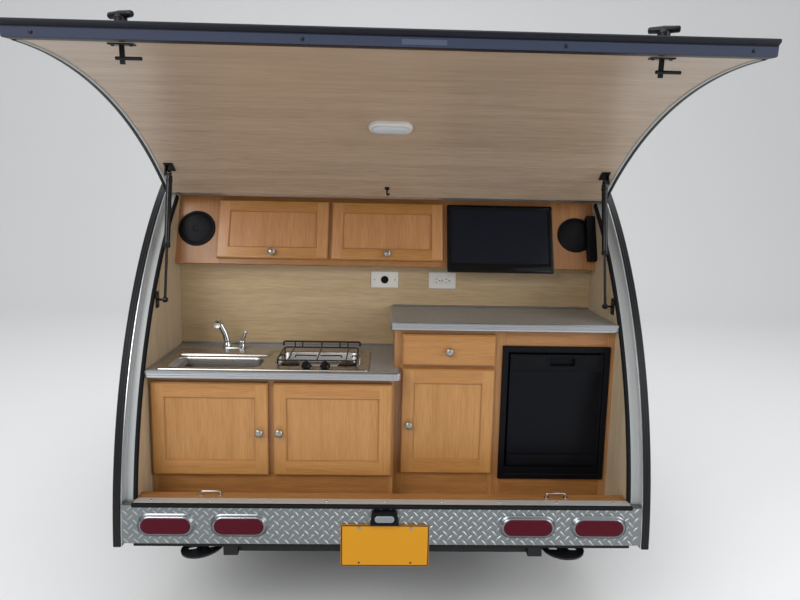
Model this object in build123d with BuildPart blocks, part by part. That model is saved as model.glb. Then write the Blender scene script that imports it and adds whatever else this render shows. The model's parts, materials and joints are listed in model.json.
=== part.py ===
# Teardrop camping trailer, six feet wide, parked with its galley hatch up.
# Millimetres. X is across (+X the trailer's right), +Y forward to the hitch, +Z up, ground at Z = 0.
from build123d import *
from math import asin, atan2, cos, degrees, hypot, radians, sin, sqrt
import os

os.makedirs("parts", exist_ok=True)

# Driving dimensions
rear_y = -1871.0          # rear face of the bumper in the library's frame
deck_z = 420.0            # underside of the bumper above the ground
body_half = 914.4         # outer face of a side wall, half of six feet
lip = 21.0                # outer ply of a wall, standing proud round the hatch and roof
wall = 58.4               # whole side wall
shell = 32.0              # roof and nose sandwich
hatch_t = 26.0            # hatch sandwich, thinner by the seal it shuts on
seat_gap = 0.2            # between curved pieces of one body
run_gap = 5.0             # round the doors and the hatch
run_fit = 0.05            # round a pin, a rod or a bead
door_gap = 0.25           # behind an overlaid door, and between a hinge's knuckles
wall_foot = -12.0         # bottom of the side walls, from deck_z
deck_t = 50.0             # floor sandwich

# Side outline: tangent arcs from the rear foot over the roof to the nose.
# Each row is the arc's radius and the heading where it ends (0 = up, 90 = forward, 180 = down).
foot_lean = 2.5
arcs = [
    (1620.0, 54.0),
    (950.0, 90.0),
    (6000.0, 99.5),
    (1080.0, 180.0),
    (700.0, 270.0),
]
hinge_heading = 51.7      # where the hatch meets the roof

# Galley
inner_half = body_half - wall
floor_half = inner_half - seat_gap
cab_half = floor_half - seat_gap
galley_back = 628.0       # front face of the bulkhead, forward of the bumper
front_y = 190.0           # front of the sink doors
high_set = 72.0           # how far the high cabinet stands back of the low one
high_y = front_y + high_set
door_t = 19.0
counter_front = 168.0
high_lip = 14.0           # high worktop past its doors
counter_t = 24.0
low_top = 561.0
high_top = 731.0
step_x = 30.0             # where the low worktop stops against the high side
floor_top = wall_foot + deck_t
bulkhead_t = 18.0
panel_t = 15.0

# Running gear
wheel_r = 330.0
wheel_y = 1330.0
tyre_w = 185.0
tyre_gap = 41.1           # from the body to the tyre
tyre_x = body_half + tyre_gap + tyre_w / 2
rim_r = 178.0
rim_w = 168.0
bead_w = 158.0
tread_w = 148.0
rail_w = 50.0
rail_h = 64.0
nose_y = 4290.0


def at(x, y, z):
    """A point from the body's own origin (centre, bumper face, bumper underside) in the library's frame."""
    return (x, rear_y + y, deck_z + z)


def side(x):
    """Plane across X: sketch x runs forward, sketch y runs up."""
    return Plane(origin=at(x, 0, 0), x_dir=(0, 1, 0), z_dir=(1, 0, 0))


def flat(z):
    """Plane at a height: sketch x is X, sketch y runs forward."""
    return Plane(origin=at(0, 0, z))


def upright(y):
    """Plane facing the rear: sketch x is X, sketch y runs up."""
    return Plane(origin=at(0, y, 0), x_dir=(1, 0, 0), z_dir=(0, -1, 0))


def block(x, y, z):
    """A box between two corners, given as ranges from the body's origin."""
    middle = at(sum(x) / 2, sum(y) / 2, sum(z) / 2)
    with Locations(middle):
        Box(abs(x[1] - x[0]), abs(y[1] - y[0]), abs(z[1] - z[0]))


def arc_centres():
    """Centre of each outline arc: each is tangent to the one before."""
    r, _ = arcs[0]
    y = r * cos(radians(foot_lean))
    z = -r * sin(radians(foot_lean))
    found = [(y, z)]
    for (r0, heading), (r1, _) in zip(arcs, arcs[1:]):
        y -= (r0 - r1) * cos(radians(heading))
        z += (r0 - r1) * sin(radians(heading))
        found.append((y, z))
    return found


centres = arc_centres()


def on_shell(heading, inset):
    """Point of the rear arc at a heading, an inset inside the skin."""
    r = arcs[0][0] - inset
    return (centres[0][0] - r * cos(radians(heading)), centres[0][1] + r * sin(radians(heading)))


def shell_arcs(inset, start, z_end):
    """Outline curves at an inset, from a heading on the rear arc to a height on the nose arc."""
    heading = start
    for index, ((r, end), (cy, cz)) in enumerate(zip(arcs, centres)):
        if index == len(arcs) - 1:
            end = 180 + degrees(asin((cz - z_end) / (r - inset)))
        CenterArc((cy, cz), r - inset, 180 - heading, heading - end)
        heading = end


def foot_heading(inset, z):
    """Heading of the rear arc at a height."""
    return degrees(asin((z - centres[0][1]) / (arcs[0][0] - inset)))


def nose_at(inset, z):
    """Forward end of the nose arc at a height."""
    r = arcs[-1][0] - inset
    return (centres[-1][0] + sqrt(r * r - (centres[-1][1] - z) ** 2), z)


def wall_face(x, inset):
    """Closed side outline at an inset, standing on the wall's foot."""
    with BuildSketch(side(x)) as face:
        with BuildLine():
            shell_arcs(inset, foot_heading(inset, wall_foot), wall_foot)
            Line(nose_at(inset, wall_foot), on_shell(foot_heading(inset, wall_foot), inset))
        make_face()
    return face.sketch


# Entry doors
door_y = (1800.0, 2440.0)
door_z = (110.0, 1130.0)
door_round = 150.0
window_y = (1900.0, 2340.0)
window_z = (640.0, 1010.0)
window_round = 70.0
glass_t = 6.0


def rounded(y, z, radius, grow):
    """Rounded rectangle on a side plane, grown all round by grow."""
    with Locations(((y[0] + y[1]) / 2, (z[0] + z[1]) / 2)):
        RectangleRounded(y[1] - y[0] + 2 * grow, z[1] - z[0] + 2 * grow, radius + grow)


def side_wall(sign):
    """Side wall: an inner ply that carries roof and hatch, and an outer ply that stands proud of it."""
    with BuildPart() as piece:
        extrude(wall_face(sign * inner_half, shell + seat_gap), amount=sign * (wall - lip))
        extrude(wall_face(sign * (body_half - lip), 0), amount=sign * lip)
        with BuildSketch(side(sign * inner_half)):
            rounded(door_y, door_z, door_round, run_gap)
        extrude(amount=sign * wall, mode=Mode.SUBTRACT)
    return piece


side_wall_left = side_wall(-1)
side_wall_left.part.label = "side_wall_left"
export_step(side_wall_left.part, "parts/side_wall_left.step")

side_wall_right = side_wall(1)
side_wall_right.part.label = "side_wall_right"
export_step(side_wall_right.part, "parts/side_wall_right.step")

# Roof and nose: one bent sandwich from the hatch hinge to the front of the floor
roof_half = body_half - lip - seat_gap
with BuildPart() as roof_shell:
    with BuildSketch(side(-roof_half)):
        with BuildLine():
            shell_arcs(0, hinge_heading, wall_foot)
            Line(nose_at(0, wall_foot), nose_at(shell, wall_foot))
            shell_arcs(shell, hinge_heading, wall_foot)
            Line(on_shell(hinge_heading, shell), on_shell(hinge_heading, 0))
        make_face()
    extrude(amount=2 * roof_half)

roof_shell.part.label = "roof_shell"
export_step(roof_shell.part, "parts/roof_shell.step")

# Floor sandwich between the side walls
floor_rear = 4.0
with BuildPart() as floor_deck:
    block((-floor_half, floor_half), (floor_rear, nose_at(shell, wall_foot)[0] - seat_gap), (wall_foot, floor_top))

floor_deck.part.label = "floor_deck"
export_step(floor_deck.part, "parts/floor_deck.step")

# Bulkhead between galley and cabin, under the upper cabinet
upper_low = 905.0
upper_top = 1185.0
upper_front_low = 560.0
upper_front_top = 667.0
upper_back = 840.0
with BuildPart() as bulkhead:
    block((-floor_half, floor_half), (galley_back, galley_back + bulkhead_t), (floor_top, upper_low - seat_gap))

bulkhead.part.label = "bulkhead"
export_step(bulkhead.part, "parts/bulkhead.step")

# Mattress, seen through the door windows
mattress_y = (660.0, 2960.0)
mattress_t = 100.0
with BuildPart() as mattress:
    block((-inner_half + 16, inner_half - 16), mattress_y, (floor_top, floor_top + mattress_t))
    fillet(mattress.edges().filter_by(Axis.Z), 60)

mattress.part.label = "mattress"
export_step(mattress.part, "parts/mattress.step")

# Entry doors: hung at their front edge, as thick as the wall
entry_hinge_z = (260.0, 900.0)
knuckle = 32.0
knuckle_r = 6.5
hinge_pin_r = 3.0
leaf_t = 2.5
hinge_x = body_half + knuckle_r + 0.3
hinge_line = door_y[1] + run_gap / 2


def post(x, y, z, radius, height, mode=Mode.ADD):
    """Upright cylinder standing on a point."""
    with Locations(at(x, y, z)):
        Cylinder(radius, height, align=(Align.CENTER, Align.CENTER, Align.MIN), mode=mode)


def hinge_half(sign, z, way):
    """Knuckle at a height with its leaf running one way along the wall."""
    post(sign * hinge_x, hinge_line, z, knuckle_r, knuckle)
    x = (sign * (body_half + seat_gap), sign * (body_half + leaf_t))
    block(x, (hinge_line, hinge_line + way * 46), (z, z + knuckle))


handle_at = (door_y[0] + 80.0, 560.0)
handle_w = 110.0
handle_steps = ((-1.0, 5.0, 76.0, 14.0), (3.0, 16.0, 26.0, 8.0))


def entry_door(sign):
    """Door panel with its window hole, and its leaf and knuckle of each hinge."""
    with BuildPart() as piece:
        with BuildSketch(side(sign * inner_half)):
            rounded(door_y, door_z, door_round, 0)
        extrude(amount=sign * wall)
        with BuildSketch(side(sign * inner_half)):
            rounded(window_y, window_z, window_round, 0)
        extrude(amount=sign * wall, mode=Mode.SUBTRACT)
        for z in entry_hinge_z:
            upper = z + knuckle + door_gap
            hinge_half(sign, upper, -1)
            with Locations(at(sign * (body_half + 1), hinge_line - 26, upper + knuckle / 2)):
                Box(3, 30, knuckle - 6)
            post(sign * hinge_x, hinge_line, z, hinge_pin_r + run_fit, 3 * knuckle, Mode.SUBTRACT)
        for out, depth, high, corner in handle_steps:
            with BuildSketch(side(sign * (body_half + out))):
                with Locations(handle_at):
                    RectangleRounded(handle_w, high, corner)
            extrude(amount=sign * depth)
    return piece


def door_glass(sign):
    """Pane in the middle of the door's thickness."""
    with BuildPart() as piece:
        with BuildSketch(side(sign * (body_half - 12))):
            rounded(window_y, window_z, window_round, -seat_gap)
        extrude(amount=-sign * glass_t)
    return piece


with BuildPart() as entry_hinges:
    for sign in (-1, 1):
        for z in entry_hinge_z:
            hinge_half(sign, z, 1)
            post(sign * hinge_x, hinge_line, z, hinge_pin_r, 2 * knuckle)

entry_hinges.part.label = "entry_hinges"
export_step(entry_hinges.part, "parts/entry_hinges.step")

entry_door_left = entry_door(-1)
entry_door_left.part.label = "entry_door_left"
export_step(entry_door_left.part, "parts/entry_door_left.step")

entry_door_right = entry_door(1)
entry_door_right.part.label = "entry_door_right"
export_step(entry_door_right.part, "parts/entry_door_right.step")

window_left = door_glass(-1)
window_left.part.label = "window_left"
export_step(window_left.part, "parts/window_left.step")

window_right = door_glass(1)
window_right.part.label = "window_right"
export_step(window_right.part, "parts/window_right.step")

# Hatch: drawn shut in the body's own frame, on planes swung up about the hinge
hatch_open = 77.0
hatch_half = body_half - lip - run_gap
hatch_foot = 153.0
bar_h = 46.0
bar_proud = 4.0           # bar past the hatch's skin
bar_t = 31.0
hinge_up = 8.0            # hinge axis above the skin
hinge_y, hinge_z = on_shell(hinge_heading, -hinge_up)
hatch_end = hinge_heading - 0.25


def swung(y, z):
    """Where a point of the shut hatch stands with the hatch up."""
    turn = radians(-hatch_open)
    dy, dz = y - hinge_y, z - hinge_z
    return (hinge_y + dy * cos(turn) - dz * sin(turn), hinge_z + dy * sin(turn) + dz * cos(turn))


def hatch_side(x):
    """Side plane that carries the shut hatch's sketches to the open hatch."""
    turn = radians(-hatch_open)
    return Plane(origin=at(x, *swung(0, 0)), x_dir=(0, cos(turn), sin(turn)), z_dir=(1, 0, 0))


def skin_strip(plane, inset, depth, low, high):
    """Section along the rear arc, between two headings, on a side plane."""
    with BuildSketch(plane) as face:
        with BuildLine():
            CenterArc(centres[0], arcs[0][0] - inset, 180 - high, high - low)
            Line(on_shell(low, inset), on_shell(low, inset + depth))
            CenterArc(centres[0], arcs[0][0] - inset - depth, 180 - high, high - low)
            Line(on_shell(high, inset + depth), on_shell(high, inset))
        make_face()
    return face.sketch


def hatch_strip(inset, depth, low, high, x):
    """Section of a piece of the hatch, at the open hatch's place."""
    return skin_strip(hatch_side(x), inset, depth, low, high)


bar_low = foot_heading(0, hatch_foot)
bar_high = bar_low + degrees(bar_h / arcs[0][0])
with BuildPart() as hatch_panel:
    extrude(hatch_strip(0, hatch_t, bar_high, hatch_end, -hatch_half), amount=2 * hatch_half)

hatch_panel.part.label = "hatch_panel"
export_step(hatch_panel.part, "parts/hatch_panel.step")

with BuildPart() as hatch_bar:
    extrude(hatch_strip(-bar_proud, bar_t, bar_low, bar_high - 0.01, -hatch_half), amount=2 * hatch_half)

hatch_bar.part.label = "hatch_bar"
export_step(hatch_bar.part, "parts/hatch_bar.step")

# Hatch hinge: two full-width extrusions, a socket curled round a bead, each with a leaf on its skin
bead_r = 4.0
curl_r = 6.6
leaf_h = 2.5
leaf_long = 40.0
neck_t = 2.5
neck_foot = (-9.0, -6.5)  # where the neck meets its leaf: along the skin from the axis, and out from it
neck_room = 26.0          # degrees the socket's mouth leaves on each side of the neck
hinge_half_w = hatch_half - 2


def from_axis(along, out):
    """Point at a distance along the skin and out from it, measured from the hinge's axis."""
    h = radians(hinge_heading)
    return (hinge_y + along * sin(h) - out * cos(h), hinge_z + along * cos(h) + out * sin(h))


def turned_out(angle, radius):
    """Point round the hinge's axis: 0 along the hatch's skin, positive away from the skin."""
    return from_axis(-radius * cos(radians(angle)), radius * sin(radians(angle)))


neck_low = -degrees(atan2(-neck_foot[1], -neck_foot[0])) - neck_room
neck_high = neck_low + 2 * neck_room + hatch_open
leaf_turn = degrees(leaf_long / arcs[0][0])
with BuildPart() as hinge_socket:
    with BuildSketch(side(-hinge_half_w)):
        with Locations((hinge_y, hinge_z)):
            Circle(curl_r)
        add(skin_strip(Plane.XY, -seat_gap - leaf_h, leaf_h, hinge_heading + 0.1, hinge_heading + 0.1 + leaf_turn))
        with Locations((hinge_y, hinge_z)):
            Circle(bead_r + run_fit, mode=Mode.SUBTRACT)
        with BuildLine():
            mouth = [turned_out(angle, 3 * curl_r) for angle in (neck_low, (neck_low + neck_high) / 2, neck_high)]
            Polyline((hinge_y, hinge_z), *mouth, close=True)
        make_face(mode=Mode.SUBTRACT)
    extrude(amount=2 * hinge_half_w)

hinge_socket.part.label = "hinge_socket"
export_step(hinge_socket.part, "parts/hinge_socket.step")

with BuildPart() as hinge_bead:
    with BuildSketch(hatch_side(-hinge_half_w)):
        with Locations((hinge_y, hinge_z)):
            Circle(bead_r)
        with BuildLine():
            Polyline(
                from_axis(neck_foot[0] - 1.5, neck_foot[1] - neck_t / 2),
                from_axis(neck_foot[0] - 1.5, neck_foot[1] + neck_t / 2),
                from_axis(0, neck_t / 2),
                from_axis(0, -neck_t / 2),
                close=True,
            )
        make_face()
        foot_turn = degrees(-neck_foot[0] / arcs[0][0])
        add(skin_strip(Plane.XY, -seat_gap - leaf_h, leaf_h, hinge_heading - foot_turn - leaf_turn, hinge_heading - foot_turn))
    extrude(amount=2 * hinge_half_w)

hinge_bead.part.label = "hinge_bead"
export_step(hinge_bead.part, "parts/hinge_bead.step")

# Hatch latches: a draw bar with its cross handle inside, and a T-handle outside, near each end of the bar
latch_x = 645.0
latch_low = bar_high + 0.4
latch_turn = 3.4
with BuildPart() as hatch_latches:
    for x in (-latch_x, latch_x):
        extrude(hatch_strip(hatch_t + 0.3, 3, latch_low, latch_low + 0.9, x - 30), amount=60)
        extrude(hatch_strip(hatch_t + 3.2, 6, latch_low, latch_low + latch_turn, x - 6), amount=12)
        with BuildSketch(hatch_side(x - 8)):
            with Locations(on_shell(latch_low + latch_turn - 0.5, hatch_t + 13)):
                Circle(5)
        extrude(amount=70)
        with BuildSketch(hatch_side(x - 6)):
            with Locations(on_shell(latch_low + latch_turn - 1.2, -10)):
                Rectangle(19.4, 12, rotation=180 - latch_low - latch_turn)
        extrude(amount=12)
        with BuildSketch(hatch_side(x - 36)):
            with Locations(on_shell(latch_low + latch_turn - 1.2, -20)):
                RectangleRounded(10, 16, 4, rotation=180 - latch_low - latch_turn)
        extrude(amount=72)

hatch_latches.part.label = "hatch_latches"
export_step(hatch_latches.part, "parts/hatch_latches.step")

# Hatch light on the underside
light_heading = 34.4
light_y, light_z = on_shell(light_heading, hatch_t + 0.7)
with BuildPart() as hatch_light:
    down = radians(-light_heading - hatch_open)
    with BuildSketch(Plane(origin=at(0, *swung(light_y, light_z)), x_dir=(1, 0, 0), z_dir=(0, cos(down), sin(down)))):
        SlotOverall(150, 75)
    extrude(amount=22)

hatch_light.part.label = "hatch_light"
export_step(hatch_light.part, "parts/hatch_light.step")

# Gas struts: tube hung on the hatch, rod down to a stud on the side wall
strut_x = inner_half - 30.0
strut_shut = (523.0, 1044.0)
strut_foot = (330.0, 790.0)
tube_r = 11.0
rod_r = 5.0
tube_len = 280.0
eye_r = 8.0
pin_r = 4.0
strut_head = swung(*strut_shut)
strut_run = hypot(strut_foot[0] - strut_head[0], strut_foot[1] - strut_head[1])
strut_dir = (0, (strut_foot[0] - strut_head[0]) / strut_run, (strut_foot[1] - strut_head[1]) / strut_run)


def strut_plane(sign, along):
    """Plane square to a strut, at a distance down from its upper pin."""
    y = strut_head[0] + strut_dir[1] * along
    z = strut_head[1] + strut_dir[2] * along
    return Plane(origin=at(sign * strut_x, y, z), x_dir=(1, 0, 0), z_dir=strut_dir)


def strut_pin(sign, point):
    """Plane across a strut's pin, facing the side wall."""
    return Plane(origin=at(sign * strut_x, *point), x_dir=(0, 1, 0), z_dir=(sign, 0, 0))


def strut_tube(sign):
    """Closed cylinder with an eye at the top and a rod bore through its foot."""
    with BuildPart() as piece:
        with BuildSketch(strut_plane(sign, eye_r)):
            Circle(tube_r)
        extrude(amount=tube_len - eye_r)
        with BuildSketch(strut_pin(sign, strut_head).offset(-5)):
            Circle(eye_r + 2)
        extrude(amount=10)
        with BuildSketch(strut_pin(sign, strut_head).offset(-tube_r)):
            Circle(pin_r + run_fit)
        extrude(amount=2 * tube_r, mode=Mode.SUBTRACT)
        with BuildSketch(strut_plane(sign, eye_r + 20)):
            Circle(rod_r + run_fit)
        extrude(amount=tube_len, mode=Mode.SUBTRACT)
    return piece


def strut_rod(sign):
    """Rod from inside the tube to its own eye at the stud."""
    with BuildPart() as piece:
        with BuildSketch(strut_plane(sign, tube_len - 60)):
            Circle(rod_r)
        extrude(amount=strut_run - tube_len + 60 - eye_r)
        with BuildSketch(strut_pin(sign, strut_foot).offset(-6)):
            Circle(eye_r + 2)
        extrude(amount=12)
        with BuildSketch(strut_pin(sign, strut_foot).offset(-10)):
            Circle(pin_r + run_fit)
        extrude(amount=20, mode=Mode.SUBTRACT)
    return piece


def strut_stud(sign):
    """Plate on the side wall with the ball stud's shank."""
    with BuildPart() as piece:
        with BuildSketch(Plane(origin=at(sign * inner_half, *strut_foot), x_dir=(0, 1, 0), z_dir=(-sign, 0, 0))):
            RectangleRounded(34, 62, 5)
        extrude(amount=3)
        with BuildSketch(Plane(origin=at(sign * inner_half, *strut_foot), x_dir=(0, 1, 0), z_dir=(-sign, 0, 0))):
            Circle(pin_r)
        extrude(amount=inner_half - strut_x + 8)
    return piece


def hatch_stud(sign):
    """Foot on the hatch's underside, a lug, and the pin that carries a strut."""
    dy, dz = strut_shut[0] - centres[0][0], strut_shut[1] - centres[0][1]
    heading = 180 - degrees(atan2(dz, dy))
    reach = arcs[0][0] - hatch_t - hypot(dy, dz)
    x = sign * (strut_x + 13)
    with BuildPart() as piece:
        with BuildSketch(strut_pin(sign, strut_head).offset(-8)):
            Circle(pin_r)
        extrude(amount=8 + 15)
        with BuildSketch(hatch_side(x)):
            with Locations(strut_shut):
                Circle(9)
            with Locations(on_shell(heading, hatch_t + reach / 2 + 0.5)):
                Rectangle(reach - 1, 18, rotation=180 - heading)
        extrude(amount=sign * 5)
        extrude(hatch_strip(hatch_t + 0.3, 3, heading - 0.9, heading + 0.9, x - sign * 26), amount=sign * 34)
    return piece


strut_tube_left = strut_tube(-1)
strut_tube_left.part.label = "strut_tube_left"
export_step(strut_tube_left.part, "parts/strut_tube_left.step")

strut_tube_right = strut_tube(1)
strut_tube_right.part.label = "strut_tube_right"
export_step(strut_tube_right.part, "parts/strut_tube_right.step")

strut_rod_left = strut_rod(-1)
strut_rod_left.part.label = "strut_rod_left"
export_step(strut_rod_left.part, "parts/strut_rod_left.step")

strut_rod_right = strut_rod(1)
strut_rod_right.part.label = "strut_rod_right"
export_step(strut_rod_right.part, "parts/strut_rod_right.step")

with BuildPart() as strut_studs:
    add(strut_stud(-1).part)
    add(strut_stud(1).part)

strut_studs.part.label = "strut_studs"
export_step(strut_studs.part, "parts/strut_studs.step")

with BuildPart() as hatch_studs:
    add(hatch_stud(-1).part)
    add(hatch_stud(1).part)

hatch_studs.part.label = "hatch_studs"
export_step(hatch_studs.part, "parts/hatch_studs.step")

# Base cabinet: a low carcass for the sink, and a high one set back beside it, each with its face frame
low_face = front_y + door_t + door_gap
high_face = high_y + door_t + door_gap
face_t = 13.0
low_under = low_top - counter_t
high_under = high_top - counter_t
overlay = 12.0
sink_split = (step_x - cab_half) / 2 - 4.2
sink_door_z = (165.0, 513.0)
sink_door_x = ((-cab_half + 10.6, sink_split - 10.0), (sink_split + 10.0, step_x - 8.0))
fridge_x = (cab_half - 421.6, cab_half - 15.6)
fridge_z = (123.0, 644.0)
flange_in = 14.0          # fridge's flange past its body
drawer_x = (step_x + 29.0, fridge_x[0] - 28.0)
drawer_z = (567.5, 684.5)
pantry_z = (147.0, 554.5)
cab_back = galley_back - seat_gap
with BuildPart() as base_cabinet:
    block((-cab_half, step_x + 1), (low_face, cab_back), (floor_top, floor_top + panel_t))
    block((-cab_half, -cab_half + panel_t), (low_face, cab_back), (floor_top, low_under))
    block((-cab_half, step_x), (low_face, low_face + face_t), (floor_top, low_under))
    block((step_x - panel_t, step_x), (low_face, high_face + 1), (floor_top, low_under))
    block((step_x, cab_half), (high_face, cab_back), (floor_top, floor_top + panel_t))
    for x in (step_x, fridge_x[0] - 12 - panel_t, cab_half - panel_t):
        block((x, x + panel_t), (high_face, cab_back), (floor_top, high_under))
    shelf = fridge_z[0] + flange_in - seat_gap
    block((fridge_x[0] - 12, cab_half), (high_face, cab_back), (shelf - panel_t, shelf))
    block((step_x, cab_half), (high_face, high_face + face_t), (floor_top, high_under))
    for x, y, z in (
        (sink_door_x[0], low_face, sink_door_z),
        (sink_door_x[1], low_face, sink_door_z),
        (drawer_x, high_face, drawer_z),
        (drawer_x, high_face, pantry_z),
    ):
        with Locations(at(sum(x) / 2, y + face_t / 2, sum(z) / 2)):
            Box(x[1] - x[0] - 2 * overlay, face_t + 2, z[1] - z[0] - 2 * overlay, mode=Mode.SUBTRACT)
    with Locations(at(sum(fridge_x) / 2, high_face + face_t / 2, sum(fridge_z) / 2)):
        Box(
            fridge_x[1] - fridge_x[0] - 2 * flange_in + 6,
            face_t + 2,
            fridge_z[1] - fridge_z[0] - 2 * flange_in + 6,
            mode=Mode.SUBTRACT,
        )

base_cabinet.part.label = "base_cabinet"
export_step(base_cabinet.part, "parts/base_cabinet.step")

# Worktops: a low one with the sink and stove cut in, and a high one beside it
basin_x = (-cab_half + 97.6, -cab_half + 390.6)
basin_y = (228.0, 362.0)
stove_x = (-cab_half + 443.6, -cab_half + 755.6)
stove_y = (240.0, 470.0)
low_lip = 20.0            # low worktop past its finished end
top_round = 12.0          # front corners of the worktops
with BuildPart() as worktops:
    with BuildSketch(flat(low_under)):
        with BuildLine():
            Polyline(
                (-cab_half, counter_front),
                (step_x + low_lip, counter_front),
                (step_x + low_lip, high_y),
                (step_x - seat_gap, high_y),
                (step_x - seat_gap, cab_back),
                (-cab_half, cab_back),
                close=True,
            )
        make_face()
    extrude(amount=counter_t)
    block((step_x - high_lip, cab_half), (high_y - high_lip, cab_back), (high_under, high_top))
    low_corner = worktops.edges().filter_by(Axis.Z).sort_by(Axis.Y)[:2].sort_by(Axis.X)[-1]
    high_corner = worktops.edges().filter_by(Axis.Z).filter_by_position(Axis.Z, deck_z + high_under, deck_z + high_top)
    fillet([low_corner, high_corner.group_by(Axis.Y)[0].sort_by(Axis.X)[0]], top_round)
    for x, y in ((basin_x, basin_y), (stove_x, stove_y)):
        with Locations(at(sum(x) / 2, sum(y) / 2, low_top)):
            Box(x[1] - x[0] + 4, y[1] - y[0] + 4, 3 * counter_t, mode=Mode.SUBTRACT)

worktops.part.label = "worktops"
export_step(worktops.part, "parts/worktops.step")

# Sink and stove in one stainless top: a folded rim, a basin and a burner well
sink_x = (basin_x[0] - 70.0, stove_x[1] + 38.0)
sink_y = (182.0, 500.0)
sheet_t = 2.0
basin_d = 120.0
stove_d = 40.0
ledge_x = (basin_x[0] - 27.0, basin_x[1] + 20.0)
ledge_y = (basin_y[1] + 10.0, basin_y[1] + 96.0)
ledge_h = 8.0
burner_in = 49.0          # burners in from the ends of their well
burner_y = 326.0
burner_r = 42.0
with BuildPart() as sink_unit:
    block(sink_x, sink_y, (low_top, low_top + 6))
    fillet(sink_unit.edges().filter_by(Axis.Z), 15)
    block(basin_x, basin_y, (low_top - basin_d, low_top))
    block(stove_x, stove_y, (low_top - stove_d, low_top))
    block(ledge_x, ledge_y, (low_top + 5, low_top + 6 + ledge_h))
    for x, y, depth in ((basin_x, basin_y, basin_d), (stove_x, stove_y, stove_d)):
        with Locations(at(sum(x) / 2, sum(y) / 2, low_top + 6 - (depth + 4) / 2)):
            Box(x[1] - x[0] - 2 * sheet_t, y[1] - y[0] - 2 * sheet_t, depth + 4, mode=Mode.SUBTRACT)
    with Locations(*[at(x, burner_y, low_top - stove_d + 10) for x in (stove_x[0] + burner_in, stove_x[1] - burner_in)]):
        Cylinder(burner_r, 24)

sink_unit.part.label = "sink_unit"
export_step(sink_unit.part, "parts/sink_unit.step")

# Faucet: a base on the worktop behind the ledge, a raised spout arm with its outlet, and a lever
faucet_x = basin_x[0] + 141.0
faucet_y = sink_y[1] + 30.0
arm_root = (faucet_x - 33, low_top + 18)
arm_tip = (faucet_x - 61, low_top + 110)
lever_root = (faucet_x + 34, low_top + 16)
lever_tip = (faucet_x + 46, low_top + 62)
with BuildPart() as faucet:
    with BuildSketch(flat(low_top)):
        with Locations((faucet_x, faucet_y)):
            SlotOverall(96, 44)
    extrude(amount=22)
    for root, tip, width in ((arm_root, arm_tip, 22), (lever_root, lever_tip, 16)):
        run = (tip[0] - root[0], tip[1] - root[1])
        with BuildSketch(upright(faucet_y + 9)):
            with Locations(((root[0] + tip[0]) / 2, (root[1] + tip[1]) / 2)):
                SlotCenterToCenter(hypot(*run), width, rotation=degrees(atan2(run[1], run[0])))
        extrude(amount=18)
    with BuildSketch(upright(faucet_y - 9)):
        with Locations(arm_tip):
            Circle(11)
    extrude(amount=24)

faucet.part.label = "faucet"
export_step(faucet.part, "parts/faucet.step")

stile = 44.0
rail = 53.0
panel_sunk = 6.0
knob_r = 15.0
knob_out = 24.0


def knob(x, y, z):
    """Round knob on a neck, standing out from a front."""
    for radius, low, high in ((8, 0, knob_out - 10), (knob_r, knob_out - 12, knob_out)):
        with BuildSketch(upright(y - low)) as face:
            with Locations((x, z)):
                Circle(radius)
        extrude(face.sketch, amount=high - low)


def panel_door(x, y, z, knob_x, knob_z):
    """Framed door with a sunk panel and a round knob."""
    with BuildPart() as piece:
        block(x, (y, y + door_t), z)
        with BuildSketch(upright(y)):
            with Locations((sum(x) / 2, sum(z) / 2)):
                Rectangle(x[1] - x[0] - 2 * stile, z[1] - z[0] - 2 * rail)
        extrude(amount=-panel_sunk, mode=Mode.SUBTRACT)
        knob(knob_x, y, knob_z)
    return piece


sink_door_left = panel_door(sink_door_x[0], front_y, sink_door_z, sink_door_x[0][1] - 30, 331.0)
sink_door_left.part.label = "sink_door_left"
export_step(sink_door_left.part, "parts/sink_door_left.step")

sink_door_right = panel_door(sink_door_x[1], front_y, sink_door_z, sink_door_x[1][0] + 21, 331.0)
sink_door_right.part.label = "sink_door_right"
export_step(sink_door_right.part, "parts/sink_door_right.step")

pantry_door = panel_door(drawer_x, high_y, pantry_z, drawer_x[0] + 28, 340.0)
pantry_door.part.label = "pantry_door"
export_step(pantry_door.part, "parts/pantry_door.step")

# Drawer: front and an open box behind it
box_x = (drawer_x[0] + overlay + 6, drawer_x[1] - overlay - 6)
box_z = (drawer_z[0] + overlay + 6, drawer_z[1] - overlay - 10)
box_t = 10.0
drawer_deep = 330.0
with BuildPart() as drawer:
    block(drawer_x, (high_y, high_y + door_t), drawer_z)
    block(box_x, (high_y + door_t, high_y + door_t + drawer_deep), box_z)
    with Locations(at(sum(box_x) / 2, high_y + door_t + drawer_deep / 2, sum(box_z) / 2 + box_t)):
        Box(box_x[1] - box_x[0] - 2 * box_t, drawer_deep - 2 * box_t, box_z[1] - box_z[0], mode=Mode.SUBTRACT)
    knob(sum(drawer_x) / 2, high_y, sum(drawer_z) / 2 - 3)

drawer.part.label = "drawer"
export_step(drawer.part, "parts/drawer.step")

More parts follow.
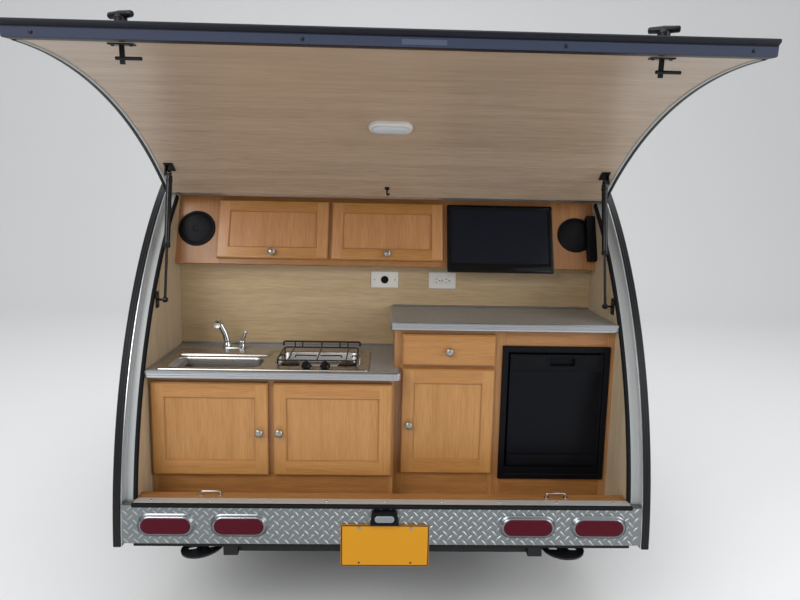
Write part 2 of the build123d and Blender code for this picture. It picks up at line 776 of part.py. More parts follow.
# Fridge: an open cabinet with a flange on the face frame, and a door set in the flange on two pivots
fridge_t = 26.0
flange_t = 6.0
fridge_face = high_face - door_gap - flange_t
fridge_door_x = (fridge_x[0] + 28.0, fridge_x[1] - 25.0)
fridge_door_z = (fridge_z[0] + 55.0, fridge_z[1] - 29.0)
fridge_proud = 8.0        # door past the flange
fridge_door_t = 42.0
fridge_back = cab_back - 20.0
pivot_r = 3.0
pivot_in = 8.0            # pivots in from the door's edge and face, at the middle of its rounded corner
pivot_long = 12.0
pivot_x = fridge_door_x[1] - pivot_in
pivot_y = fridge_face - fridge_proud + pivot_in
with BuildPart() as fridge:
    block(fridge_x, (fridge_face, fridge_face + flange_t), fridge_z)
    inner = [(span[0] + flange_in, span[1] - flange_in) for span in (fridge_x, fridge_z)]
    block(inner[0], (fridge_face, fridge_back), inner[1])
    hollow = (fridge_face - 1, fridge_back - 2 * fridge_t)
    with Locations(at(sum(fridge_door_x) / 2, sum(hollow) / 2, sum(fridge_door_z) / 2)):
        Box(
            fridge_door_x[1] - fridge_door_x[0] + 2 * run_gap,
            hollow[1] - hollow[0],
            fridge_door_z[1] - fridge_door_z[0] + 2 * run_gap,
            mode=Mode.SUBTRACT,
        )
    for z, way in ((fridge_door_z[1], 1), (fridge_door_z[0], -1)):
        block((pivot_x - 5, fridge_door_x[1] + run_gap + 4), (pivot_y - 5, fridge_face + 6), (z + way, z + way * 4))
        with BuildSketch(flat(z + way * 4)):
            with Locations((pivot_x, pivot_y)):
                Circle(pivot_r)
        extrude(amount=-way * (pivot_long + 4))

fridge.part.label = "fridge"
export_step(fridge.part, "parts/fridge.step")

recess_x = (fridge_x[0] + 179.0, fridge_x[0] + 271.0)
recess_z = (fridge_z[1] - 72.0, fridge_z[1] - 44.0)
with BuildPart() as fridge_door:
    door_front = fridge_face - fridge_proud
    block(fridge_door_x, (door_front, door_front + fridge_door_t), fridge_door_z)
    fillet(fridge_door.edges().filter_by(Axis.Z).group_by(Axis.Y)[0].sort_by(Axis.X)[-1], pivot_in)
    with Locations(at(sum(recess_x) / 2, door_front, sum(recess_z) / 2)):
        Box(recess_x[1] - recess_x[0], 36, recess_z[1] - recess_z[0], mode=Mode.SUBTRACT)
    for z, way in ((fridge_door_z[1], 1), (fridge_door_z[0], -1)):
        with BuildSketch(flat(z)):
            with Locations((pivot_x, pivot_y)):
                Circle(pivot_r + run_fit)
        extrude(amount=-way * (pivot_long + 2), mode=Mode.SUBTRACT)

fridge_door.part.label = "fridge_door"
export_step(fridge_door.part, "parts/fridge_door.step")

# Upper cabinet: a box whose front leans with the hatch
lean_run = upper_front_top - upper_front_low
lean_rise = upper_top - upper_low
lean_len = hypot(lean_run, lean_rise)
lean = (0, lean_run / lean_len, lean_rise / lean_len)
lean_out = (0, -lean[2], lean[1])


def leaning(off):
    """Plane on the upper cabinet's front, off it towards the cook: sketch y runs up the front."""
    y = upper_front_low + lean_out[1] * off
    z = upper_low + lean_out[2] * off
    return Plane(origin=at(0, y, z), x_dir=(1, 0, 0), z_dir=lean_out)


upper_half = cab_half
speaker_w = 165.6         # left plain at each end for a speaker
upper_door_x = ((-cab_half + speaker_w, -243.0), (-228.0, 226.0))
upper_door_s = (22.0, 267.0)
with BuildPart() as upper_cabinet:
    with BuildSketch(side(-upper_half)):
        with BuildLine():
            Polyline(
                (upper_front_low, upper_low),
                (upper_front_top, upper_top),
                (upper_back, upper_top),
                (upper_back, upper_low),
                close=True,
            )
        make_face()
    extrude(amount=2 * upper_half)
    with BuildSketch(side(-upper_half + panel_t)):
        with BuildLine():
            Polyline(
                (upper_front_low + 24, upper_low + panel_t),
                (upper_front_top + 18, upper_top - panel_t),
                (upper_back - panel_t, upper_top - panel_t),
                (upper_back - panel_t, upper_low + panel_t),
                close=True,
            )
        make_face()
    extrude(amount=2 * (upper_half - panel_t), mode=Mode.SUBTRACT)
    with BuildSketch(leaning(20)):
        for x in upper_door_x:
            with Locations((sum(x) / 2, sum(upper_door_s) / 2)):
                Rectangle(x[1] - x[0] - 2 * overlay, upper_door_s[1] - upper_door_s[0] - 2 * overlay)
    extrude(amount=-80, mode=Mode.SUBTRACT)

upper_cabinet.part.label = "upper_cabinet"
export_step(upper_cabinet.part, "parts/upper_cabinet.step")

upper_door_t = 15.0


def lift_door(x):
    """Upper door on the leaning front, hung at its top edge."""
    with BuildPart() as piece:
        with BuildSketch(leaning(1)):
            with Locations((sum(x) / 2, sum(upper_door_s) / 2)):
                Rectangle(x[1] - x[0], upper_door_s[1] - upper_door_s[0])
        extrude(amount=upper_door_t)
        with BuildSketch(leaning(1 + upper_door_t)):
            with Locations((sum(x) / 2, sum(upper_door_s) / 2)):
                Rectangle(x[1] - x[0] - 2 * stile, upper_door_s[1] - upper_door_s[0] - 2 * stile)
        extrude(amount=-6, mode=Mode.SUBTRACT)
        with BuildSketch(leaning(1 + upper_door_t)):
            with Locations((sum(x) / 2, upper_door_s[0] + 24)):
                Circle(13)
        extrude(amount=18)
    return piece


upper_door_left = lift_door(upper_door_x[0])
upper_door_left.part.label = "upper_door_left"
export_step(upper_door_left.part, "parts/upper_door_left.step")

upper_door_right = lift_door(upper_door_x[1])
upper_door_right.part.label = "upper_door_right"
export_step(upper_door_right.part, "parts/upper_door_right.step")

# Television on the leaning front
tv_x = (243.0, cab_half - 177.6)
tv_s = (-24.0, 262.0)
with BuildPart() as television:
    with BuildSketch(leaning(0.5)):
        with Locations((sum(tv_x) / 2, sum(tv_s) / 2 + 40)):
            Rectangle(200, 100)
    extrude(amount=4)
    with BuildSketch(leaning(4)):
        with Locations((sum(tv_x) / 2, sum(tv_s) / 2)):
            RectangleRounded(tv_x[1] - tv_x[0], tv_s[1] - tv_s[0], 6)
    extrude(amount=20)

television.part.label = "television"
export_step(television.part, "parts/television.step")

# Speakers: round grilles in the plain ends of the upper cabinet's front
speaker_r = 74.0
speaker_s = 146.0
with BuildPart() as speakers:
    for off, radius, depth in ((0.3, speaker_r, 6.0), (6.2, speaker_r - 14, 4.0)):
        with BuildSketch(leaning(off)):
            with Locations(*[(sign * (cab_half - speaker_r - 4), speaker_s) for sign in (-1, 1)]):
                Circle(radius)
        extrude(amount=depth)

speakers.part.label = "speakers"
export_step(speakers.part, "parts/speakers.step")

# Rear bumper: folded plate between the walls, with a top flange that carries the sill
bumper_half = body_half - 23.4
bumper_top = 137.0
plate_t = 3.0
flange = 36.0
with BuildPart() as bumper:
    block((-bumper_half, bumper_half), (0, plate_t), (0, bumper_top))
    block((-bumper_half, bumper_half), (0, flange), (bumper_top - plate_t, bumper_top))

bumper.part.label = "bumper"
export_step(bumper.part, "parts/bumper.step")

# Sill over the bumper's flange, with the two loops that the hatch's latches pull on
loop_x = bumper_half - 283.0
with BuildPart() as sill:
    block((-floor_half, floor_half), (14, 100), (bumper_top, bumper_top + 4))
    block((-floor_half, floor_half), (96, 100), (floor_top, bumper_top + 4))
    for x in (-loop_x, loop_x):
        with Locations(at(x, 74, bumper_top + 3)):
            Box(36, 6, 36)
        with Locations(at(x, 74, bumper_top + 10)):
            Box(24, 8, 10, mode=Mode.SUBTRACT)

sill.part.label = "sill"
export_step(sill.part, "parts/sill.step")

# Tail lamps: four oval lamps let in to the bumper
lamp_x = [sign * (bumper_half - inset) for sign, inset in ((-1, 150), (-1, 397), (1, 397), (1, 150))]
lamp_z = 68.0
with BuildPart() as tail_lamps:
    with BuildSketch(upright(-0.2)):
        with Locations(*[(x, lamp_z) for x in lamp_x]):
            Ellipse(100, 42)
    extrude(amount=14)

tail_lamps.part.label = "tail_lamps"
export_step(tail_lamps.part, "parts/tail_lamps.step")

# Blank licence plate with its lamp over it
plate_x = 3.0
plate_z = (-78.0, 75.0)
with BuildPart() as licence_plate:
    block((plate_x - 152.4, plate_x + 152.4), (-5, -3), plate_z)
    block((plate_x - 50, plate_x + 50), (-24, -0.2), (plate_z[1] + 4, plate_z[1] + 54))
    block((plate_x - 30, plate_x + 30), (-5, -0.2), (20, plate_z[1] + 10))

licence_plate.part.label = "licence_plate"
export_step(licence_plate.part, "parts/licence_plate.step")

# Chassis: two rails and four cross members under the floor, with the tongue's two tubes
rail_x = 540.0
rail_top = wall_foot - seat_gap
rail_y = (60.0, 2700.0)
tongue_from = (rail_x - 30.0, 2300.0)
tongue_to = (60.0, 4060.0)
jack_y = 3730.0
jack_out_r = 30.0
cross_y = (90.0, 900.0, 1700.0, 2650.0)
jack_plate = (85.0, 60.0)
with BuildPart() as chassis:
    for x in (-rail_x, rail_x):
        block((x - rail_w / 2, x + rail_w / 2), rail_y, (rail_top - rail_h, rail_top))
    for y in cross_y:
        block((-rail_x, rail_x), (y, y + rail_w), (rail_top - rail_h, rail_top))
    for sign in (-1, 1):
        with BuildSketch(flat(rail_top)):
            with BuildLine():
                Polyline(
                    (sign * (tongue_from[0] - rail_w / 2), tongue_from[1]),
                    (sign * (tongue_from[0] + rail_w / 2), tongue_from[1]),
                    (sign * (tongue_to[0] + rail_w / 2), tongue_to[1]),
                    (sign * (tongue_to[0] - rail_w / 2), tongue_to[1]),
                    close=True,
                )
            make_face()
        extrude(amount=-rail_h)
    block((-150, 150), (jack_y - 40, jack_y + 40), (rail_top - rail_h, rail_top))
    with Locations(at(0, jack_y, rail_top - rail_h / 2)):
        Cylinder(jack_out_r + seat_gap, 2 * rail_h, mode=Mode.SUBTRACT)

chassis.part.label = "chassis"
export_step(chassis.part, "parts/chassis.step")

# Coupler: a pressed channel over the tongue's end with the ball's socket
socket_r = 25.6
socket_y = nose_y - 62.0
with BuildPart() as coupler:
    with BuildSketch(flat(rail_top + seat_gap)):
        with BuildLine():
            Polyline(
                (-110, tongue_to[1] - 60),
                (110, tongue_to[1] - 60),
                (52, nose_y - 60),
                (-52, nose_y - 60),
                close=True,
            )
        make_face()
    extrude(amount=6)
    block((-48, 48), (tongue_to[1] + 2, nose_y - 60), (rail_top - 50, rail_top + 4))
    with Locations(at(0, socket_y, rail_top - 22)):
        Cylinder(50, 62)
    block((-30, 30), (nose_y - 62, nose_y), (rail_top - 20, rail_top + 9))
    with BuildSketch(flat(rail_top - 60)):
        with Locations((0, socket_y)):
            Circle(socket_r)
    extrude(amount=48, mode=Mode.SUBTRACT)
    with Locations(at(0, (tongue_to[1] + socket_y) / 2 - 20, rail_top - 30)):
        Box(84, socket_y - tongue_to[1] - 60, 56, mode=Mode.SUBTRACT)

coupler.part.label = "coupler"
export_step(coupler.part, "parts/coupler.step")

# Tongue jack: outer tube in a plate on the tongue, inner leg with its foot on the ground
jack_leg_r = 25.0
jack_top = 420.0
jack_low = -190.0
with BuildPart() as jack_tube:
    with Locations(at(0, jack_y, (jack_top + jack_low) / 2)):
        Cylinder(jack_out_r, jack_top - jack_low)
    with Locations(at(0, jack_y, jack_low + (jack_top - jack_low) / 2 - 30)):
        Cylinder(jack_leg_r + run_fit, jack_top - jack_low + 1, mode=Mode.SUBTRACT)
    with Locations(at(0, jack_y, jack_top + 14)):
        Cylinder(jack_out_r + 4, 30)
    block((-jack_plate[0], jack_plate[0]), (jack_y - jack_plate[1], jack_y + jack_plate[1]), (rail_top + seat_gap, rail_top + 10))
    with Locations(at(0, jack_y, rail_top)):
        Cylinder(jack_leg_r + run_fit, 60, mode=Mode.SUBTRACT)
    block((-8, 8), (jack_y + 20, jack_y + 150), (jack_top + 6, jack_top + 20))
    with Locations(at(0, jack_y + 145, jack_top + 50)):
        Cylinder(11, 80)

jack_tube.part.label = "jack_tube"
export_step(jack_tube.part, "parts/jack_tube.step")

ground = -deck_z
with BuildPart() as jack_leg:
    with Locations(at(0, jack_y, (ground + 10 + 60) / 2)):
        Cylinder(jack_leg_r, 60 - ground - 10)
    block((-75, 75), (jack_y - 60, jack_y + 60), (ground, ground + 12))

jack_leg.part.label = "jack_leg"
export_step(jack_leg.part, "parts/jack_leg.step")

# Axle: rubber-sprung beam under the rails, trailing arms, spindles and hub drums
axle_z = wheel_r - deck_z
beam_y = wheel_y + 150.0
beam = 60.0
beam_top = rail_top - rail_h - seat_gap
beam_mid = beam_top - beam / 2
arm_x = 760.0
spindle_r = 17.0
hub_r = 70.0
wheel_in = tyre_x - 62.0
with BuildPart() as axle:
    block((-arm_x, arm_x), (beam_y - beam / 2, beam_y + beam / 2), (beam_mid - beam / 2, beam_top))
    for sign in (-1, 1):
        with BuildSketch(side(sign * (arm_x - 1))):
            with BuildLine():
                Polyline(
                    (wheel_y - 24, axle_z + 26),
                    (beam_y + 28, beam_mid + 28),
                    (beam_y + 28, beam_mid - 28),
                    (wheel_y - 24, axle_z - 26),
                    close=True,
                )
            make_face()
        extrude(amount=sign * 26)
        with BuildSketch(side(sign * (arm_x + 20))):
            with Locations((wheel_y, axle_z)):
                Circle(26)
        extrude(amount=sign * (wheel_in - arm_x - 20 - 42))
        with BuildSketch(side(sign * (wheel_in - 50))):
            with Locations((wheel_y, axle_z)):
                Circle(115)
        extrude(amount=sign * 46)
        with BuildSketch(side(sign * (wheel_in - 8))):
            with Locations((wheel_y, axle_z)):
                Circle(spindle_r)
        extrude(amount=sign * 88)

axle.part.label = "axle"
export_step(axle.part, "parts/axle.step")


def wheel(sign):
    """Steel wheel: a rim barrel, a dished disc and a hub bored for the spindle."""
    with BuildPart() as piece:
        with BuildSketch(Plane(origin=at(sign * tyre_x, wheel_y, axle_z), x_dir=(sign, 0, 0), z_dir=(0, 0, sign))):
            with BuildLine():
                Polyline(
                    (wheel_in + 6 - tyre_x, spindle_r + run_fit),
                    (44, spindle_r + run_fit),
                    (44, 44),
                    (16, 92),
                    (28, rim_r - 12),
                    (rim_w / 2, rim_r - 12),
                    (rim_w / 2, rim_r),
                    (-rim_w / 2, rim_r),
                    (-rim_w / 2, rim_r - 12),
                    (wheel_in + 6 - tyre_x, 92),
                    close=True,
                )
            make_face()
        revolve(axis=Axis(origin=at(0, wheel_y, axle_z), direction=(1, 0, 0)))
        with BuildSketch(side(sign * (tyre_x - 10))):
            with Locations((wheel_y, axle_z)):
                with PolarLocations(124, 8):
                    Circle(15)
        extrude(amount=sign * 60, mode=Mode.SUBTRACT)
    return piece


def tyre(sign):
    """Tyre section spun round the spindle's axis."""
    with BuildPart() as piece:
        with BuildSketch(Plane(origin=at(sign * tyre_x, wheel_y, axle_z), x_dir=(1, 0, 0), z_dir=(0, 0, 1))):
            with BuildLine():
                Polyline(
                    (-bead_w / 2, rim_r + seat_gap),
                    (-tyre_w / 2, wheel_r - 70),
                    (-tread_w / 2, wheel_r),
                    (tread_w / 2, wheel_r),
                    (tyre_w / 2, wheel_r - 70),
                    (bead_w / 2, rim_r + seat_gap),
                    close=True,
                )
            make_face()
        revolve(axis=Axis(origin=at(0, wheel_y, axle_z), direction=(1, 0, 0)))
    return piece


wheel_left = wheel(-1)
wheel_left.part.label = "wheel_left"
export_step(wheel_left.part, "parts/wheel_left.step")

wheel_right = wheel(1)
wheel_right.part.label = "wheel_right"
export_step(wheel_right.part, "parts/wheel_right.step")

tyre_left = tyre(-1)
tyre_left.part.label = "tyre_left"
export_step(tyre_left.part, "parts/tyre_left.step")

tyre_right = tyre(1)
tyre_right.part.label = "tyre_right"
export_step(tyre_right.part, "parts/tyre_right.step")

# Fenders: a rolled top and a skirt outside it, on the body's sides
fender_r = 398.0
fender_out = tyre_x + tyre_w / 2 + 24.5
fender_t = 3.0
fender_low = -100.0
with BuildPart() as fenders:
    for sign in (-1, 1):
        with BuildSketch(side(sign * (body_half + seat_gap))):
            with Locations((wheel_y, axle_z)):
                Circle(fender_r)
                Circle(fender_r - fender_t, mode=Mode.SUBTRACT)
                with Locations((0, -fender_r + fender_low - axle_z)):
                    Rectangle(3 * fender_r, 2 * fender_r, mode=Mode.SUBTRACT)
        extrude(amount=sign * (fender_out - body_half - seat_gap))
        for x, depth in ((fender_out - fender_t, 60), (body_half + seat_gap, 30)):
            with BuildSketch(side(sign * x)):
                with Locations((wheel_y, axle_z)):
                    Circle(fender_r)
                    Circle(fender_r - depth, mode=Mode.SUBTRACT)
                    with Locations((0, -fender_r + fender_low - axle_z)):
                        Rectangle(3 * fender_r, 2 * fender_r, mode=Mode.SUBTRACT)
            extrude(amount=sign * fender_t)

fenders.part.label = "fenders"
export_step(fenders.part, "parts/fenders.step")

# Stabilisers: swing-down legs under the rear corners, each with a round foot on a pin
leg_x = 645.0
leg_pin = (435.0, -32.0)
leg_len = 355.0
leg_w = 28.0
pad_r = 75.0
pad_drop = 22.0           # pad's plate below its pin
pad_t = 6.0
leg_pin_r = 6.0
pad_pin_r = 5.0
tab_w = 14.0
tab_r = 12.0
ear_t = 6.0
ear_gap = 3.0


def pins(x, y, z, radius, reach, mode=Mode.ADD):
    """Cylinder across X, reaching both ways from a point."""
    with BuildSketch(side(x - reach)) as face:
        with Locations((y, z)):
            Circle(radius)
    extrude(face.sketch, amount=2 * reach, mode=mode)


def leg(sign):
    """Square tube folded up level, round at its front pin, with a narrow tab for the foot's pin behind."""
    with BuildPart() as piece:
        y, z = leg_pin
        x = sign * leg_x
        block((x - leg_w / 2, x + leg_w / 2), (y - leg_len + 30, y), (z - leg_w / 2, z + leg_w / 2))
        pins(x, y, z, leg_w / 2, leg_w / 2)
        block((x - tab_w / 2, x + tab_w / 2), (y - leg_len, y - leg_len + 31), (z - tab_r, z + tab_r))
        pins(x, y - leg_len, z, tab_r, tab_w / 2)
        pins(x, y, z, leg_pin_r + run_fit, leg_w, Mode.SUBTRACT)
        pins(x, y - leg_len, z, pad_pin_r + run_fit, leg_w, Mode.SUBTRACT)
    return piece


def pad(sign):
    """Round steel foot with two ears and the pin that carries it."""
    with BuildPart() as piece:
        y, z = leg_pin[0] - leg_len, leg_pin[1]
        x = sign * leg_x
        with Locations(at(x, y, z - pad_drop - pad_t / 2)):
            Cylinder(pad_r, pad_t)
        for side_on in (-1, 1):
            inner = x + side_on * (tab_w / 2 + ear_gap)
            block((inner, inner + side_on * ear_t), (y - 13, y + 13), (z - pad_drop - 1, z + 12))
        pins(x, y, z, pad_pin_r, tab_w / 2 + ear_gap + ear_t + 3)
    return piece


stabiliser_leg_left = leg(-1)
stabiliser_leg_left.part.label = "stabiliser_leg_left"
export_step(stabiliser_leg_left.part, "parts/stabiliser_leg_left.step")

stabiliser_leg_right = leg(1)
stabiliser_leg_right.part.label = "stabiliser_leg_right"
export_step(stabiliser_leg_right.part, "parts/stabiliser_leg_right.step")

stabiliser_pad_left = pad(-1)
stabiliser_pad_left.part.label = "stabiliser_pad_left"
export_step(stabiliser_pad_left.part, "parts/stabiliser_pad_left.step")

stabiliser_pad_right = pad(1)
stabiliser_pad_right.part.label = "stabiliser_pad_right"
export_step(stabiliser_pad_right.part, "parts/stabiliser_pad_right.step")

plate_y = (leg_pin[0] - 30, leg_pin[0] + 30)
with BuildPart() as stabiliser_brackets:
    for sign in (-1, 1):
        x = sign * leg_x
        for side_on in (-1, 1):
            inner = x + side_on * (leg_w / 2 + ear_gap)
            block((inner, inner + side_on * ear_t), plate_y, (leg_pin[1] - 16, rail_top))
        block((x - 26, x + 26), plate_y, (rail_top - 3, rail_top))
        pins(x, *leg_pin, leg_pin_r, leg_w / 2 + ear_gap + ear_t + 3)

stabiliser_brackets.part.label = "stabiliser_brackets"
export_step(stabiliser_brackets.part, "parts/stabiliser_brackets.step")
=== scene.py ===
import json
import math

import bmesh
import bpy
import mathutils
import numpy as np
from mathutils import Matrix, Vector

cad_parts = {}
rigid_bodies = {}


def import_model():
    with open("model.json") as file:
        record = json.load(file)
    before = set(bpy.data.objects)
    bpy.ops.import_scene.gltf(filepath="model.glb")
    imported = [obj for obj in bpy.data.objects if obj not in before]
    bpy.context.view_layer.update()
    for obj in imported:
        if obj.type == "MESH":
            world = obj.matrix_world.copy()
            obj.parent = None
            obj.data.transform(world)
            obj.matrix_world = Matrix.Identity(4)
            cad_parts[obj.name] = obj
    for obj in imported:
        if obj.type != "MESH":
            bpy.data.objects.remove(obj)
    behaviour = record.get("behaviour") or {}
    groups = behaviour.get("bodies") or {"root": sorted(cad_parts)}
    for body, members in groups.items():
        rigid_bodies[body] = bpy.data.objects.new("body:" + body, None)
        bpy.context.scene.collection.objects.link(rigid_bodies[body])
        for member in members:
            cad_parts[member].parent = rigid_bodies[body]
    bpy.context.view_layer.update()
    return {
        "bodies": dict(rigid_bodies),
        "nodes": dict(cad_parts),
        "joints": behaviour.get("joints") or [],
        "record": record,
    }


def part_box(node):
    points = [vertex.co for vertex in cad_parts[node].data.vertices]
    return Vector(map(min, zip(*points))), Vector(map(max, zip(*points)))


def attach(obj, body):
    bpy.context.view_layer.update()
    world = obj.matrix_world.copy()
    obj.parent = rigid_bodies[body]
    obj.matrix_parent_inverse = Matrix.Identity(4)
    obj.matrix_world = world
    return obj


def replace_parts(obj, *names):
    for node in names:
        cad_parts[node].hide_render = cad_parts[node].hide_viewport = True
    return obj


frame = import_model()

# Camera: held at eye height behind the open galley, a little left of its middle, looking
# slightly down and to the right, as a hand-held compact camera was.
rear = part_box("bumper")[0][1]
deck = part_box("bumper")[0][2]
eye = (-0.0254, rear - 2.146, deck + 1.1857)
look_down, look_right, tilt = 0.1535, 0.0296, 0.0202
focal_px, picture_px = 667.8, 800.0
forward = np.array([
    math.sin(look_right) * math.cos(look_down),
    math.cos(look_right) * math.cos(look_down),
    -math.sin(look_down),
])
level = np.array([math.cos(look_right), -math.sin(look_right), 0.0])
upward = np.cross(level, forward)
right = math.cos(tilt) * level + math.sin(tilt) * upward
upward = np.cross(right, forward)
camera = bpy.data.objects.new("view", bpy.data.cameras.new("view"))
bpy.context.collection.objects.link(camera)
camera.data.sensor_width = 36.0
camera.data.lens = 36.0 * focal_px / picture_px
camera.data.clip_start = 0.05
turned = np.eye(4)
turned[:3, 0], turned[:3, 1], turned[:3, 2], turned[:3, 3] = right, upward, -forward, eye
camera.matrix_world = turned.T.tolist()
bpy.context.scene.camera = camera


# Studio: a pale sweep of floor and backdrop, a wide soft lamp overhead and behind the
# camera, and a pale world, bright enough that a colour renders about as it is written.
def linear(colour):
    """Linear RGBA of an sRGB hex string."""
    value = np.array([int(colour[i:i + 2], 16) for i in (1, 3, 5)]) / 255.0
    value = np.where(value <= 0.04045, value / 12.92, ((value + 0.055) / 1.055) ** 2.4)
    return (*value.tolist(), 1.0)


def surface(name, colour, roughness, metallic=0.0, shine=0.5):
    """Plain material, its node tree and its shader, ready for what makes its grain or bump."""
    made = bpy.data.materials.new(name)
    made.use_nodes = True
    shader = made.node_tree.nodes["Principled BSDF"]
    shader.inputs["Base Color"].default_value = linear(colour)
    shader.inputs["Roughness"].default_value = roughness
    shader.inputs["Metallic"].default_value = metallic
    shader.inputs["Specular IOR Level"].default_value = shine
    return made, made.node_tree, shader


def add(tree, kind, inputs=None, **settings):
    """Adds a node: settings are its own, inputs are values or the sockets that feed it."""
    made = tree.nodes.new(kind)
    for key, value in settings.items():
        setattr(made, key, value)
    for key, value in (inputs or {}).items():
        if isinstance(value, bpy.types.NodeSocket):
            tree.links.new(value, made.inputs[key])
        else:
            made.inputs[key].default_value = value
    return made


def built(name, shapes, materials, smooth_below=35.0, body=None, closed=True):
    """One object from (points, faces, material, board) shapes, its seams merged, sharp past an angle."""
    counts = np.cumsum([0] + [len(shape[0]) for shape in shapes])
    faces = [tuple(int(i) + start for i in side) for shape, start in zip(shapes, counts) for side in shape[1]]
    sizes = [len(shape[1]) for shape in shapes]
    mesh = bpy.data.meshes.new(name)
    mesh.from_pydata(np.concatenate([shape[0] for shape in shapes]).tolist(), [], faces)
    mesh.polygons.foreach_set("material_index", np.repeat([shape[2] for shape in shapes],
        sizes).astype(np.int32))
    mesh.polygons.foreach_set("use_smooth", np.full(len(faces), True))
    board = mesh.attributes.new("board", "FLOAT", "FACE")
    board.data.foreach_set("value", np.repeat([shape[3] for shape in shapes], sizes).astype(np.float32))
    merged = bmesh.new()
    merged.from_mesh(mesh)
    bmesh.ops.remove_doubles(merged, verts=merged.verts, dist=2e-6)
    if closed:
        bmesh.ops.recalc_face_normals(merged, faces=merged.faces)
    merged.to_mesh(mesh)
    merged.free()
    mesh.set_sharp_from_angle(angle=math.radians(smooth_below))
    for material in materials:
        mesh.materials.append(material)
    made = bpy.data.objects.new(name, mesh)
    bpy.context.collection.objects.link(made)
    if body:
        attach(made, body)
    return made


def grid(points, close_u=False, close_v=False, index=0, board=0.0):
    """Shape of a (u, v, 3) array of points, each cell of the grid one face."""
    points = np.asarray(points, dtype=float)
    nu, nv = points.shape[:2]
    u, v = np.meshgrid(np.arange(nu - (not close_u)), np.arange(nv - (not close_v)), indexing="ij")
    u1, v1 = (u + 1) % nu, (v + 1) % nv
    sides = np.stack([u * nv + v, u1 * nv + v, u1 * nv + v1, u * nv + v1], axis=-1).reshape(-1, 4)
    return points.reshape(-1, 3), sides, index, board


floor_half, bend_from, floor_bend, wall_rise = 14.0, 5.0, 2.5, 9.0
bend = np.linspace(0.0, 1.0, 13)
sweep_y = np.concatenate([[-floor_half], bend_from + floor_bend * bend, [bend_from + floor_bend]])
sweep_z = np.concatenate([[0.0], floor_bend * (1.0 - np.sqrt(1.0 - bend ** 2)), [wall_rise]])
across = np.array([-floor_half, floor_half])
paper, _, _ = surface("matt_paper", "#e8e8e8", 0.9, shine=0.1)
backdrop = built("backdrop", [grid(np.stack([
    np.repeat(across[:, None], len(sweep_y), 1),
    np.repeat(sweep_y[None], 2, 0),
    np.repeat(sweep_z[None], 2, 0),
], axis=-1))], [paper], closed=False)

world = bpy.data.worlds.new("studio")
bpy.context.scene.world = world
world.use_nodes = True
tree = world.node_tree
sky = tree.nodes["Background"]
sky.inputs["Color"].default_value = linear("#f4f6f8")
# What metal mirrors is grey at the horizon and white overhead, which gives folds an edge.
way = add(tree, "ShaderNodeTexCoord").outputs["Generated"]
apart = add(tree, "ShaderNodeSeparateXYZ", {"Vector": way})
rise = add(tree, "ShaderNodeMapRange", {
    "Value": apart.outputs["Z"], "From Min": -0.1, "From Max": 0.7, "To Min": 0.16, "To Max": 0.95})
mirrored_ray = add(tree, "ShaderNodeLightPath").outputs["Is Glossy Ray"]
strength = add(tree, "ShaderNodeMix", {"Factor": mirrored_ray, 2: 0.62, 3: rise.outputs["Result"]})
tree.links.new(strength.outputs[0], sky.inputs["Strength"])


def lamp(name, place, target, size, power):
    """Square soft lamp facing a target."""
    made = bpy.data.objects.new(name, bpy.data.lights.new(name, "AREA"))
    bpy.context.collection.objects.link(made)
    made.data.size, made.data.energy = size, power
    aim = np.array(target, dtype=float) - place
    aim /= np.linalg.norm(aim)
    side = np.cross(aim, (0, 0, 1))
    side /= np.linalg.norm(side)
    pose = np.eye(4)
    pose[:3, 0], pose[:3, 1], pose[:3, 2], pose[:3, 3] = side, np.cross(side, aim), -aim, place
    made.matrix_world = pose.T.tolist()


lamp("key", (-3.2, rear - 4.2, 4.6), (0, rear, 0.9), 3.5, 210)
lamp("fill", (4.4, rear - 3.0, 2.6), (0, rear, 0.9), 3.0, 90)
lamp("top", (0.6, 0.6, 6.5), (0, 0, 0), 5.0, 170)
bpy.context.scene.view_settings.view_transform = "Standard"


# Chassis, coupler, axle and stabilisers: welded steel tube and plate, sprayed satin black,
# which the eye reads by its faint orange-peel and soft highlights.
def coat(material, *names):
    """Gives CAD nodes a material."""
    for name in names:
        mesh = frame["nodes"][name].data
        mesh.materials.clear()
        mesh.materials.append(material)


def bumped(tree, shader, height, depth, strength=1.0):
    """Feeds a height in 0-1, standing for a depth in millimetres, to a shader as bump."""
    bump = add(tree, "ShaderNodeBump", {"Height": height, "Distance": depth / 1000.0, "Strength": strength})
    tree.links.new(bump.outputs["Normal"], shader.inputs["Normal"])


black_paint, tree, shader = surface("steel_sprayed_black", "#1b1c1e", 0.42, shine=0.3)
spot = add(tree, "ShaderNodeTexCoord").outputs["Object"]
peel = add(tree, "ShaderNodeTexNoise", {"Vector": spot, "Scale": 420.0, "Detail": 2.0})
bumped(tree, shader, peel.outputs["Fac"], 0.05)
coat(
    black_paint, "chassis", "coupler", "axle", "stabiliser_brackets",
    "stabiliser_leg_left", "stabiliser_leg_right",
)

# Tongue jack and entry hinges: steel tube and leaf, zinc-plated bright, with the cloudy
# change of tone that plating has.
zinc, tree, shader = surface("steel_zinc_plated", "#a4a9ad", 0.36, 1.0)
spot = add(tree, "ShaderNodeTexCoord").outputs["Object"]
cloud = add(tree, "ShaderNodeTexNoise", {"Vector": spot, "Scale": 60.0, "Detail": 4.0})
tone = add(tree, "ShaderNodeMapRange", {"Value": cloud.outputs["Fac"], "To Min": 0.28, "To Max": 0.5})
tree.links.new(tone.outputs["Result"], shader.inputs["Roughness"])
coat(zinc, "jack_tube", "jack_leg", "entry_hinges")


# Wheels and tyres: pressed steel wheels painted silver, with five nuts and a cap, in
# moulded radial tyres whose tread blocks the CAD leaves plain.
def place(points):
    """Millimetres from the middle of the bumper's foot, as the frame's metres."""
    return np.asarray(points, dtype=float) / 1000.0 + (0.0, rear, deck)


